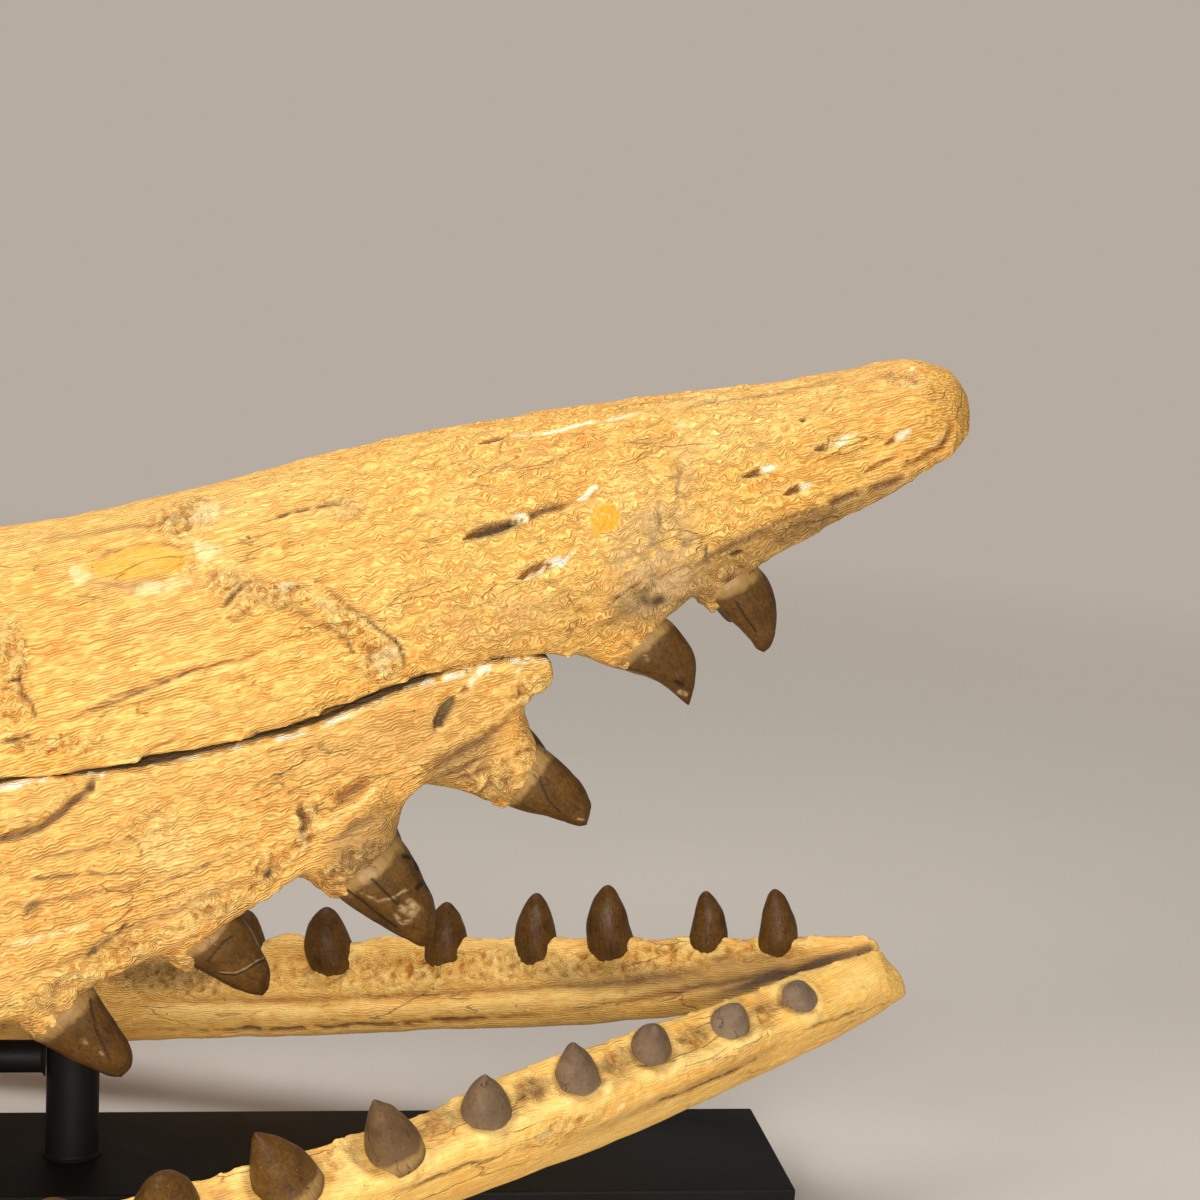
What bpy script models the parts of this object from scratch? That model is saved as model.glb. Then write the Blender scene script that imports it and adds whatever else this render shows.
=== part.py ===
"""Hainosaur skull with open jaws on a black steel stand, in metres, Z up.

The snout points along +X, the animal's right side faces -Y.
The origin is the middle of the base plate's underside.
"""

import math

import bmesh
import bpy
from mathutils import Quaternion, Vector

# Driving dimensions

GAP = 0.0003
SNOUT_TIP_X = 0.774
SKULL_BACK_X = -0.770

# Half width, roof height and tooth margin height of the upper skull along X
HALF_WIDTH = (
    (-0.770, 0.200), (-0.640, 0.215), (-0.500, 0.205), (-0.340, 0.180), (-0.200, 0.165),
    (0.000, 0.155), (0.200, 0.130), (0.400, 0.098), (0.600, 0.064), (0.700, 0.047),
)
ROOF = (
    (-0.770, 0.338), (-0.600, 0.352), (-0.400, 0.366), (-0.200, 0.384), (0.000, 0.408),
    (0.200, 0.440), (0.400, 0.491), (0.600, 0.533), (0.735, 0.555),
)
MARGIN = (
    (-0.150, 0.120), (0.000, 0.128), (0.100, 0.143), (0.200, 0.172), (0.300, 0.214),
    (0.400, 0.275), (0.500, 0.357), (0.620, 0.424), (0.735, 0.488),
)
TABLE_THICKNESS = 0.052
ORBIT_FRONT_X = -0.190
ORBIT_BACK_X = -0.315
BAR_DROP = 0.040
CHEEK_WIDTH = 0.030
TEMPORAL_CENTRE = (-0.478, 0.098)
TEMPORAL_RADII = (0.118, 0.050)
NOTCH_CENTRE = (-0.800, 0.0)
NOTCH_RADII = (0.115, 0.122)
CUT_BOTTOM = 0.20
CUT_TOP = 0.50

# Braincase under the table: its ends along X, half width, swelling, top, sink and underside
BRAINCASE_FRONT_X = -0.335
BRAINCASE_LENGTH = 0.350
BRAINCASE_WIDTH = (0.034, 0.012)
BRAINCASE_TOP = (0.340, 0.020)
BRAINCASE_BOTTOM = (0.222, 0.020)

# The open crack that separates the right maxilla from the roof
CRACK = (
    (-0.150, 0.286), (0.050, 0.293), (0.200, 0.309), (0.300, 0.325), (0.360, 0.340),
    (0.420, 0.364), (0.475, 0.379), (0.509, 0.381),
)
CRACK_OPEN = 0.004
CRACK_FRONT_X = 0.509
CRACK_BACK_X = -0.150

# Upper teeth: crown base along X, its drop below the margin, crown length, radius and dip
UPPER_TEETH = (
    (0.619, 0.009, 0.042, 0.0170, 57.0), (0.564, 0.015, 0.041, 0.0180, 46.0),
    (0.490, 0.049, 0.050, 0.0185, 36.0), (0.398, 0.027, 0.058, 0.0200, 48.0),
    (0.310, 0.013, 0.048, 0.0190, 43.0), (0.229, 0.014, 0.050, 0.0190, 43.0),
    (0.142, 0.012, 0.048, 0.0180, 48.0), (0.056, 0.012, 0.044, 0.0170, 54.0),
    (-0.028, 0.012, 0.038, 0.0150, 60.0),
)
CROWN_CURVE = math.radians(18.0)
TOOTH_SIDES = 8
TOOTH_SQUEEZE = 0.92

# Bone stems of the upper teeth: reach into the jaw and relative width, each with its share of the drop
STEM_REACH = (0.026, 0.55)
STEM_WIDE = (1.3, 8.0)

# Lower jaw: distances run from the tip of the jaw backwards
JAW_TIP_X = 0.757
JAW_HINGE = 0.780
JAW_END = 1.500
JAW_SIDE = (
    (0.000, 0.022), (0.280, 0.158), (0.430, 0.218), (0.580, 0.262), (0.780, 0.288),
    (1.000, 0.287), (1.250, 0.266), (1.400, 0.248), (1.500, 0.236),
)
JAW_TOP = (
    (0.000, 0.177), (0.250, 0.134), (0.430, 0.104), (0.600, 0.088), (0.780, 0.094),
    (0.860, 0.138), (0.930, 0.134), (1.100, 0.138), (1.280, 0.130), (1.335, 0.104),
    (1.425, 0.104), (1.500, 0.098),
)
JAW_HEIGHT = (
    (0.000, 0.032), (0.050, 0.042), (0.120, 0.052), (0.220, 0.060), (0.430, 0.064),
    (0.600, 0.068), (0.780, 0.074), (0.860, 0.114), (1.100, 0.108), (1.280, 0.092),
    (1.400, 0.056), (1.500, 0.040),
)
JAW_THICK = (
    (0.000, 0.020), (0.060, 0.032), (0.200, 0.040), (0.430, 0.046), (0.780, 0.042),
    (1.100, 0.038), (1.400, 0.046), (1.500, 0.026),
)
JAW_ROLL = (
    (0.000, 0.42), (0.500, 0.52), (0.780, 0.40), (1.100, 0.15), (1.400, 0.0), (1.500, 0.0),
)
JAW_PITCH_SHARE = 0.6
LOWER_TEETH = (0.076, 0.122, 0.176, 0.225, 0.282, 0.346, 0.405, 0.466, 0.524, 0.582, 0.640)
LOWER_RADIUS = (0.0115, 0.0180)
LOWER_CROWN = (0.034, 0.046)
LOWER_LEAN = 0.26
LOWER_DRIFT = (0.008, -0.006)
LOWER_LIFT = 0.0016

# Quadrate: centres of its foot and head, forward bow, and its two half widths
QUADRATE_FOOT = (-0.602, 0.247, 0.1090)
QUADRATE_HEAD = (-0.622, 0.172, 0.2910)
QUADRATE_BOW = 0.022
QUADRATE_LONG = (0.032, 0.030)
QUADRATE_WIDE = (0.019, 0.006)

# Jugal and pterygoid: points (x, distance from the middle plane, height) and the radius there
JUGAL_FRONT_X = (-0.154, -0.192)
JUGAL_START = (0.154, 0.140, 0.012)
JUGAL = (
    (-0.215, 0.157, 0.137, 0.012), (-0.265, 0.160, 0.142, 0.013), (-0.310, 0.161, 0.162, 0.015),
    (-0.340, 0.160, 0.200, 0.013), (-0.350, 0.156, 0.240, 0.012), (-0.351, 0.151, 0.274, 0.012),
)
PTERYGOID_START = (0.060, 0.034, 0.006)
PTERYGOID_DROP = 0.0150
PTERYGOID = (
    (-0.040, 0.040, 0.222, 0.014), (-0.150, 0.052, 0.214, 0.018), (-0.260, 0.066, 0.206, 0.020),
    (-0.370, 0.078, 0.198, 0.020), (-0.460, 0.105, 0.192, 0.018), (-0.540, 0.150, 0.190, 0.015),
    (-0.578, 0.176, 0.192, 0.012),
)

# Stand
PLATE = (1.360, 0.138, 0.0412)
POST_RADIUS = 0.0165
BEAM_RADIUS = 0.0103
BEAM_Z = 0.1045
POST_X = (0.231, -0.450)
ROD_RADIUS = 0.0080
CROSS_X = -0.400
CROSS_RADIUS = 0.0090
CROSS_REACH = 0.246
REAR_POST_TOP = 0.2000


# Helpers

def clear_scene():
    for obj in list(bpy.data.objects):
        bpy.data.objects.remove(obj, do_unlink=True)


def along(keys, x):
    """Value at x of a smooth curve through the (x, value) keys, without overshoot."""
    xs = [k[0] for k in keys]
    ys = [k[1] for k in keys]
    if x <= xs[0]:
        return ys[0]
    if x >= xs[-1]:
        return ys[-1]
    step = [(ys[i + 1] - ys[i]) / (xs[i + 1] - xs[i]) for i in range(len(xs) - 1)]
    i = max(j for j in range(len(xs) - 1) if xs[j] <= x)

    def slope(k):
        if k == 0:
            return step[0]
        if k == len(xs) - 1:
            return step[-1]
        if step[k - 1] * step[k] <= 0.0:
            return 0.0
        return 2.0 * step[k - 1] * step[k] / (step[k - 1] + step[k])

    width = xs[i + 1] - xs[i]
    t = (x - xs[i]) / width
    start = (1 + 2 * t) * (1 - t) ** 2 * ys[i] + t * (1 - t) ** 2 * width * slope(i)
    end = t * t * (3 - 2 * t) * ys[i + 1] + t * t * (t - 1) * width * slope(i + 1)
    return start + end


def blend(x, low, high):
    """0 below low, 1 above high, smooth between."""
    t = min(max((x - low) / (high - low), 0.0), 1.0)
    return t * t * (3.0 - 2.0 * t)


def material(name, colour, rough, metallic=0.0):
    found = bpy.data.materials.get(name)
    if found:
        return found
    made = bpy.data.materials.new(name)
    made.use_nodes = True
    shader = made.node_tree.nodes["Principled BSDF"]
    shader.inputs["Base Color"].default_value = (*colour, 1.0)
    shader.inputs["Roughness"].default_value = rough
    shader.inputs["Metallic"].default_value = metallic
    return made


def bone():
    return material("bone", (0.62, 0.36, 0.10), 0.75)


def enamel():
    return material("enamel", (0.13, 0.085, 0.055), 0.45)


def steel():
    return material("steel", (0.02, 0.02, 0.02), 0.5)


def finish(bm, name, look, smooth=True):
    bmesh.ops.recalc_face_normals(bm, faces=bm.faces[:])
    mesh = bpy.data.meshes.new(name)
    bm.to_mesh(mesh)
    bm.free()
    for polygon in mesh.polygons:
        polygon.use_smooth = smooth
    mesh.materials.append(look)
    obj = bpy.data.objects.new(name, mesh)
    bpy.context.scene.collection.objects.link(obj)
    return obj


def loft(sections, name, look, smooth=True):
    """Closed solid through rings of equal length, each end closed on its own middle."""
    bm = bmesh.new()
    rings = [[bm.verts.new(p) for p in ring] for ring in sections]
    count = len(rings[0])
    for a, b in zip(rings, rings[1:]):
        for i in range(count):
            j = (i + 1) % count
            bm.faces.new((a[i], a[j], b[j], b[i]))
    for ring in (rings[0], rings[-1]):
        middle = sum((v.co for v in ring), Vector()) / count
        pole = bm.verts.new(middle)
        for i in range(count):
            bm.faces.new((ring[i], ring[(i + 1) % count], pole))
    bmesh.ops.triangulate(bm, faces=bm.faces[:])
    return finish(bm, name, look, smooth)


def tube(points, radii, sides, name, look, across=Vector((0.0, 1.0, 0.0)), flat=1.0):
    """Loft of round rings along a line of points; flat squeezes the rings sideways."""
    points = [Vector(p) for p in points]
    sections = []
    for i, p in enumerate(points):
        ahead = points[min(i + 1, len(points) - 1)] - points[max(i - 1, 0)]
        ahead.normalize()
        u = (across - across.dot(ahead) * ahead).normalized()
        v = ahead.cross(u)
        ring = []
        for k in range(sides):
            turn = 2.0 * math.pi * (k + 0.5) / sides
            ring.append(p + radii[i] * (math.cos(turn) * flat * u + math.sin(turn) * v))
        sections.append(ring)
    return loft(sections, name, look)


def combine(target, other, operation):
    """Applies one exact Boolean and removes the tool."""
    boolean = target.modifiers.new(operation.lower(), "BOOLEAN")
    boolean.operation = operation
    boolean.solver = "EXACT"
    boolean.object = other
    bpy.context.view_layer.update()
    graph = bpy.context.evaluated_depsgraph_get()
    mesh = bpy.data.meshes.new_from_object(target.evaluated_get(graph))
    target.modifiers.clear()
    target.data = mesh
    bpy.data.objects.remove(other, do_unlink=True)


# Upper skull outline

def tip_round(x):
    """Share of the full section left near the blunt end of the snout."""
    t = (SNOUT_TIP_X - x) / 0.060
    return math.sqrt(max(1.0 - (1.0 - min(t, 1.0)) ** 2, 0.0))


def snout(x):
    """(half width, margin height, roof height) of the whole upper skull at x."""
    share = tip_round(x)
    width = along(HALF_WIDTH, x) * share
    low = along(MARGIN, x)
    high = along(ROOF, x)
    middle = 0.5 * (low + high)
    return width, middle + (low - middle) * share, middle + (high - middle) * share


def table_bottom(x):
    return along(ROOF, x) - TABLE_THICKNESS


def behind_cheek(x):
    """0 in front of the eye sockets, 1 from their front edge backwards."""
    return blend(-x, -ORBIT_FRONT_X - 0.040, -ORBIT_FRONT_X)


def margin_height(x, side):
    """Lower edge of the roof piece: the tooth margin, the crack, or the table's edge."""
    low = snout(x)[1]
    if side < 0:
        crack = along(CRACK, x)
        low = low + (crack - low) * blend(-x, -0.530, -CRACK_FRONT_X)
    low = low + (table_bottom(x) - low) * behind_cheek(x)
    bar = blend(-x, -ORBIT_BACK_X - 0.025, -ORBIT_BACK_X)
    bar *= blend(x, ORBIT_BACK_X - 0.055, ORBIT_BACK_X - 0.030)
    return low - BAR_DROP * bar


def outer_point(x, side, height):
    """Point of the outer surface of the skull at this height."""
    width, low, high = snout(x)
    low = low + (table_bottom(x) - 0.045 - low) * behind_cheek(x)
    rise = min(max((height - low) / (high - low), 0.0), 1.0)
    return Vector((x, side * width * math.sqrt(max(1.0 - rise ** 2.4, 0.0)), height))


def ceiling(x):
    """Height of the palate between the tooth rows."""
    low, high = snout(x)[1:]
    arch = 0.08 + 0.38 * blend(-x, -0.62, -0.25)
    inside = low + arch * (high - low)
    return inside + (table_bottom(x) - inside) * behind_cheek(x)


def cheek(x):
    return min(CHEEK_WIDTH, 0.42 * snout(x)[0])


def skull_stations():
    nose = [SNOUT_TIP_X - 0.0010 * 2.6 ** k for k in range(5)]
    body = [0.715 - 0.0330 * k for k in range(0, 27)]
    crack_front = [CRACK_FRONT_X]
    rear = [-0.190, -0.245, -0.290, -0.315, -0.330, -0.345, -0.370, -0.400]
    rear += [-0.46 - 0.062 * k for k in range(5)] + [SKULL_BACK_X]
    body = [x for x in body if abs(x - CRACK_FRONT_X) > 0.006 and x > -0.145]
    body += [CRACK_BACK_X, -0.170]
    return sorted(set(nose + body + crack_front + rear), reverse=True)


def flank(x, side, low, high, count):
    """Outer points from the height low up to the height high, top point left out."""
    points = []
    for k in range(count):
        turn = 0.5 * math.pi * k / count
        points.append(outer_point(x, side, low + (high - low) * math.sin(turn)))
    return points


def cranium():
    sections = []
    for x in skull_stations():
        high = snout(x)[2]
        right = margin_height(x, -1)
        left = margin_height(x, 1)
        up = ceiling(x)
        rise = flank(x, -1, right, high, 5)
        fall = flank(x, 1, left, high, 5)
        ring = rise + [Vector((x, 0.0, high))] + fall[::-1]
        inner_left = fall[0].y - cheek(x)
        inner_right = rise[0].y + cheek(x)
        ring.append(Vector((x, inner_left, left)))
        ring.append(Vector((x, 0.80 * inner_left, left + 0.75 * (up - left))))
        ring.append(Vector((x, 0.45 * inner_left, up)))
        ring.append(Vector((x, 0.0, up)))
        ring.append(Vector((x, 0.45 * inner_right, up)))
        ring.append(Vector((x, 0.80 * inner_right, up + 0.4 * (right - up))))
        ring.append(Vector((x, inner_right, right)))
        sections.append(ring)
    skull = loft(sections, "cranium", bone())
    for side in (-1.0, 1.0):
        cut_ellipse(skull, (TEMPORAL_CENTRE[0], side * TEMPORAL_CENTRE[1]), TEMPORAL_RADII)
    cut_ellipse(skull, NOTCH_CENTRE, NOTCH_RADII)
    combine(skull, braincase(), "UNION")
    return skull


def cut_ellipse(target, centre, radii):
    """Cuts an upright elliptical hole through the target."""
    sides = 20
    bm = bmesh.new()
    rings = []
    for height in (CUT_BOTTOM, CUT_TOP):
        ring = []
        for k in range(sides):
            turn = 2.0 * math.pi * k / sides
            ring.append(bm.verts.new((
                centre[0] + radii[0] * math.cos(turn),
                centre[1] + radii[1] * math.sin(turn),
                height,
            )))
        rings.append(ring)
    for k in range(sides):
        j = (k + 1) % sides
        bm.faces.new((rings[0][k], rings[0][j], rings[1][j], rings[1][k]))
    bm.faces.new(rings[0])
    bm.faces.new(rings[1])
    combine(target, finish(bm, "opening", bone()), "DIFFERENCE")


def braincase():
    """Block under the parietal that ends in the round condyle."""
    sections = []
    for k in range(9):
        t = k / 8
        x = BRAINCASE_FRONT_X - BRAINCASE_LENGTH * t
        swell = math.sqrt(max(1.0 - (2.0 * t - 1.0) ** 6, 0.06))
        wide = (BRAINCASE_WIDTH[0] + BRAINCASE_WIDTH[1] * math.sin(math.pi * t)) * swell
        top = BRAINCASE_TOP[0] - BRAINCASE_TOP[1] * t
        bottom = BRAINCASE_BOTTOM[0] + BRAINCASE_BOTTOM[1] * math.cos(2.0 * math.pi * t)
        mid = 0.5 * (top + bottom)
        ring = []
        for j in range(12):
            turn = 2.0 * math.pi * j / 12
            ring.append(Vector((
                x,
                wide * math.cos(turn),
                mid + 0.5 * (top - bottom) * swell * math.sin(turn),
            )))
        sections.append(ring)
    return loft(sections, "braincase", bone())


def maxilla_right():
    sections = []
    stations = [x for x in skull_stations() if CRACK_BACK_X <= x <= CRACK_FRONT_X]
    for x in stations:
        low = snout(x)[1]
        crack = along(CRACK, x)
        lips = flank(x, -1, low, crack - CRACK_OPEN, 5)
        edge = outer_point(x, -1, crack)
        ring = lips + [outer_point(x, -1, crack - CRACK_OPEN)]
        inner = edge.y + cheek(x)
        ring.append(Vector((x, inner, crack - 2.0 * GAP)))
        for k in range(1, 5):
            t = k / 4
            ring.append(Vector((x, inner - 0.010 * t, crack + (low - crack) * t)))
        sections.append(ring)
    return loft(sections, "maxilla_right", bone())


# Teeth

def tooth_ring(centre, way, side, radius):
    """Ring square to the way; side is the direction in which the tooth is squeezed."""
    u = (side - side.dot(way) * way).normalized()
    v = way.cross(u)
    ring = []
    for k in range(TOOTH_SIDES):
        turn = 2.0 * math.pi * (k + 0.5) / TOOTH_SIDES
        ring.append(centre + radius * (TOOTH_SQUEEZE * math.cos(turn) * u + math.sin(turn) * v))
    return ring


def crown(base, start, hinge, length, radius, name, foot=None):
    """Curved cone that starts along one direction and bends about the hinge.

    Its base is square to the foot direction where one is given, or to its own start.
    """
    steps = 4
    here = base.copy()
    sections = [tooth_ring(here, foot or start, hinge, radius)]
    for k in range(1, steps):
        t = k / (steps - 1)
        way = start.copy()
        way.rotate(Quaternion(hinge, 2.0 * CROWN_CURVE * (t - 0.5 / (steps - 1))))
        here = here + way * length / (steps - 1)
        way = start.copy()
        way.rotate(Quaternion(hinge, 2.0 * CROWN_CURVE * t))
        width = radius * math.sqrt(1.0 - t ** 2.2) * (1.0 - 0.25 * t) + 0.0030 * t
        sections.append(tooth_ring(here, way, hinge, width))
    return loft(sections, name, enamel())


def upper_tooth_place(spec, side):
    """Crown base centre and starting direction."""
    x, drop, dip = spec[0], spec[1], spec[4]
    width, low = snout(x)[:2]
    y = side * (width - 0.5 * cheek(x) - 0.002)
    angle = math.radians(dip) - CROWN_CURVE
    start = Vector((math.cos(angle), side * 0.10, -math.sin(angle))).normalized()
    return Vector((x, y, low - drop)), start


def pedestal(base, start, hinge, back, reach, radius, wide):
    """Bone cone that carries a crown; it runs from inside the jaw to the crown base."""
    sections = [
        tooth_ring(base + back * reach, -back, hinge, radius * wide),
        tooth_ring(base, start, hinge, radius * 1.06),
    ]
    return loft(sections, "pedestal", bone())


def upper_teeth(skull, cheek_piece):
    hinge = Vector((0.0, 1.0, 0.0))
    for side, word in ((-1, "right"), (1, "left")):
        for number, spec in enumerate(UPPER_TEETH, 1):
            base, start = upper_tooth_place(spec, side)
            on_cheek = side < 0 and number > 2
            reach = STEM_REACH[0] + STEM_REACH[1] * spec[1]
            back = Vector((-1.0, -0.15 * side, 1.0)).normalized()
            wide = STEM_WIDE[0] + STEM_WIDE[1] * spec[1]
            stem = pedestal(base, start, hinge, back, reach, spec[3], wide)
            combine(cheek_piece if on_cheek else skull, stem, "UNION")
            name = f"tooth_upper_{word}_{number}"
            crown(base + start * GAP * 2.0, start, hinge, spec[2], spec[3], name)


# Lower jaw

def jaw_frame(run, side):
    """Middle of the tooth bearing face and the outward, up and rear directions there."""
    def middle(d):
        return Vector((JAW_TIP_X - d, side * along(JAW_SIDE, d), along(JAW_TOP, d)))

    step = 0.004
    rear = (middle(run + step) - middle(run - step)).normalized()
    rear.z *= JAW_PITCH_SHARE
    rear.normalize()
    outward = Vector((0.0, float(side), 0.0))
    outward = (outward - outward.dot(rear) * rear).normalized()
    up = outward.cross(rear) * (1.0 if side < 0 else -1.0)
    if up.z < 0.0:
        up = -up
    roll = along(JAW_ROLL, run)
    lean_up = math.cos(roll) * up + math.sin(roll) * outward
    lean_out = math.cos(roll) * outward - math.sin(roll) * up
    return middle(run), lean_out, lean_up, rear


JAW_OUTLINE = (
    (0.40, 0.00), (0.50, -0.16), (0.50, -0.44), (0.42, -0.76), (0.18, -0.98),
    (-0.14, -1.00), (-0.40, -0.84), (-0.44, -0.58), (-0.38, -0.32), (-0.46, -0.12), (-0.38, 0.00),
)


def jaw_ring(run, side):
    middle, out, up = jaw_frame(run, side)[:3]
    tall = along(JAW_HEIGHT, run)
    thick = along(JAW_THICK, run)
    blunt = blend(run, -0.026, 0.018)
    ring = []
    for a, b in JAW_OUTLINE:
        lift = (b + 0.5) * tall * blunt - 0.5 * tall
        ring.append(middle + out * a * thick * blunt + up * lift)
    return ring


def jaw_piece(runs, side, name):
    return loft([jaw_ring(run, side) for run in runs], name, bone())


def lower_jaws():
    front = [0.0, 0.006, 0.016, 0.032] + [0.058 + 0.0425 * k for k in range(17)] + [JAW_HINGE]
    back = [JAW_HINGE + 0.0005, 0.800, 0.825, 0.850, 0.880, 0.920, 0.970, 1.030, 1.100, 1.170]
    back += [1.230, 1.270, 1.300, 1.335, 1.380, 1.425, 1.465, JAW_END]
    for side, word in ((-1, "right"), (1, "left")):
        jaw_piece(front, side, f"jaw_front_{word}")
        jaw_piece(back, side, f"jaw_rear_{word}")
        for number, run in enumerate(LOWER_TEETH, 1):
            share = min((run - LOWER_TEETH[0]) / (LOWER_TEETH[6] - LOWER_TEETH[0]), 1.0)
            drift = LOWER_DRIFT[0] * (1.0 - share) if side < 0 else LOWER_DRIFT[1]
            place, out, up, rear = jaw_frame(run + drift, side)
            radius = LOWER_RADIUS[0] + share * (LOWER_RADIUS[1] - LOWER_RADIUS[0])
            length = LOWER_CROWN[0] + share * (LOWER_CROWN[1] - LOWER_CROWN[0])
            way = math.cos(LOWER_LEAN) * up + math.sin(LOWER_LEAN) * out
            hinge = way.cross(rear).normalized()
            name = f"tooth_lower_{word}_{number}"
            crown(place + up * LOWER_LIFT, way, hinge, length, radius, name, foot=up)


# Bones behind the snout

def quadrates():
    for side, word in ((-1, "right"), (1, "left")):
        sections = []
        for k in range(9):
            t = k / 8
            x, y, z = (a + (b - a) * t for a, b in zip(QUADRATE_FOOT, QUADRATE_HEAD))
            x += QUADRATE_BOW * math.sin(math.pi * t)
            long = QUADRATE_LONG[0] + QUADRATE_LONG[1] * math.sin(0.5 * math.pi * t)
            wide = QUADRATE_WIDE[0] + QUADRATE_WIDE[1] * math.cos(2.0 * math.pi * t)
            ring = []
            for j in range(12):
                turn = 2.0 * math.pi * j / 12
                ring.append(Vector((
                    x + long * math.cos(turn), side * (y + wide * math.sin(turn)), z,
                )))
            sections.append(ring)
        loft(sections, f"quadrate_{word}", bone())


def jugals():
    for side, word in ((-1, "right"), (1, "left")):
        front = JUGAL_FRONT_X[0] if side < 0 else JUGAL_FRONT_X[1]
        rows = [(front, *JUGAL_START), *JUGAL]
        points = [(x, side * y, z) for x, y, z, radius in rows]
        radii = [row[3] for row in rows]
        tube(points, radii, 8, f"jugal_{word}", bone(), flat=0.75)


def pterygoids():
    for side, word in ((-1, "right"), (1, "left")):
        x, y, radius = PTERYGOID_START
        rows = [(x, y, ceiling(x) - PTERYGOID_DROP, radius), *PTERYGOID]
        points = [(x, side * y, z) for x, y, z, radius in rows]
        radii = [row[3] for row in rows]
        tube(points, radii, 8, f"pterygoid_{word}", bone(), flat=1.1)


# Stand

def base_plate():
    bm = bmesh.new()
    bmesh.ops.create_cube(bm, size=1.0)
    bmesh.ops.scale(bm, vec=Vector(PLATE), verts=bm.verts[:])
    bmesh.ops.translate(bm, vec=Vector((0.0, 0.0, 0.5 * PLATE[2])), verts=bm.verts[:])
    bmesh.ops.bevel(
        bm, geom=bm.edges[:], offset=0.0015, offset_type="OFFSET", segments=1,
        profile=0.5, affect="EDGES", material=-1,
    )
    bmesh.ops.triangulate(bm, faces=bm.faces[:])
    finish(bm, "base_plate", steel(), smooth=False)


def stand():
    base_plate()
    foot = PLATE[2] + GAP
    shoulder = BEAM_Z + BEAM_RADIUS + 0.006
    tops = (ceiling(POST_X[0]) - 0.004, REAR_POST_TOP)
    for x, top, name in zip(POST_X, tops, ("post_front", "post_rear")):
        points = [(x, 0, foot), (x, 0, shoulder), (x, 0, shoulder + 0.004), (x, 0, top)]
        radii = [POST_RADIUS, POST_RADIUS, ROD_RADIUS, ROD_RADIUS]
        tube(points, radii, 20, name, steel())
    ends = (POST_X[1] + POST_RADIUS + GAP, POST_X[0] - POST_RADIUS - GAP)
    tube(
        [(ends[0], 0, BEAM_Z), (ends[1], 0, BEAM_Z)], [BEAM_RADIUS] * 2, 16, "beam", steel(),
    )
    height = BEAM_Z + BEAM_RADIUS + CROSS_RADIUS + GAP
    tube(
        [(CROSS_X, -CROSS_REACH, height), (CROSS_X, CROSS_REACH, height)], [CROSS_RADIUS] * 2, 12,
        "cross_tube", steel(), across=Vector((1.0, 0.0, 0.0)),
    )


def main():
    clear_scene()
    skull = cranium()
    cheek_piece = maxilla_right()
    upper_teeth(skull, cheek_piece)
    lower_jaws()
    quadrates()
    jugals()
    pterygoids()
    stand()


main()
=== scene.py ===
"""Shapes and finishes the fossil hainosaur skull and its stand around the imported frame, in metres, Z up.

The snout points along +X and the animal's right side faces -Y, towards the camera.
Places on the near side are given as (across, down) in the 1200 x 1200 picture that the camera takes.
"""

import math

import bmesh
import bpy
import numpy as np
from mathutils import Matrix, Vector


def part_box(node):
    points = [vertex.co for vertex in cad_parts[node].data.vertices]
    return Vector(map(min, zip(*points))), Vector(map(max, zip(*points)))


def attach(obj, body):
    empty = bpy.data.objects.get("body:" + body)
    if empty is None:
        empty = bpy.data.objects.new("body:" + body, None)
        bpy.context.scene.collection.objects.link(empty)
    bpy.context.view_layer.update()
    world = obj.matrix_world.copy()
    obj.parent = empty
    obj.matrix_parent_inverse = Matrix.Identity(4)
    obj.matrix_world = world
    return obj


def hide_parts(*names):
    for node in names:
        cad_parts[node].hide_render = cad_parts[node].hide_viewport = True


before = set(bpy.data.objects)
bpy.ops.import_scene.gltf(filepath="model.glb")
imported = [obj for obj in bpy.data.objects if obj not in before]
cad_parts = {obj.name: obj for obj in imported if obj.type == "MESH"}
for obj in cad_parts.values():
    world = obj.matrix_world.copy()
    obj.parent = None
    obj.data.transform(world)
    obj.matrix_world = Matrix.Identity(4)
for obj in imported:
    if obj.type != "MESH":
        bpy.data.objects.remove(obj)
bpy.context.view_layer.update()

bl_info = {
    "name": "Hainosaur skull",
    "version": (1, 0, 0),
    "blender": (4, 5, 0),
    "location": "View3D > Sidebar > Fossil",
    "description": "Builds a fossil hainosaur skull with open jaws on a black steel stand",
    "category": "Add Mesh",
}

# Camera

PICTURE = 1200
FOCAL = 2600.0
CAMERA_PLACE = np.array((0.299, -1.570, 0.681))
CAMERA_YAW = math.radians(8.98)
CAMERA_PITCH = math.radians(10.0)
CAMERA_ROLL = math.radians(3.0)
MM = 0.001


def camera_axes():
    """Right, down and forward directions of the camera."""
    sa, ca = math.sin(CAMERA_YAW), math.cos(CAMERA_YAW)
    se, ce = math.sin(CAMERA_PITCH), math.cos(CAMERA_PITCH)
    sr, cr = math.sin(CAMERA_ROLL), math.cos(CAMERA_ROLL)
    forward = np.array((sa * ce, ca * ce, -se))
    right = np.array((ca, -sa, 0.0))
    down = np.array((-sa * se, -ca * se, -ce))
    return right * cr - down * sr, right * sr + down * cr, forward


RIGHT, DOWN, FORWARD = camera_axes()


def picture_of(places):
    """Picture coordinates of each place, and its depth in front of the camera."""
    away = places - CAMERA_PLACE
    depth = away @ FORWARD
    across = 0.5 * PICTURE + FOCAL * (away @ RIGHT) / depth
    downward = 0.5 * PICTURE + FOCAL * (away @ DOWN) / depth
    return np.stack((across, downward), axis=1), depth


def place_at(spot, y):
    """Place in the upright plane at this y that the camera sees at a picture spot."""
    way = FORWARD + (spot[0] - 0.5 * PICTURE) / FOCAL * RIGHT + (spot[1] - 0.5 * PICTURE) / FOCAL * DOWN
    return CAMERA_PLACE + way * (y - CAMERA_PLACE[1]) / way[1]


# Noise and curves

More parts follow.
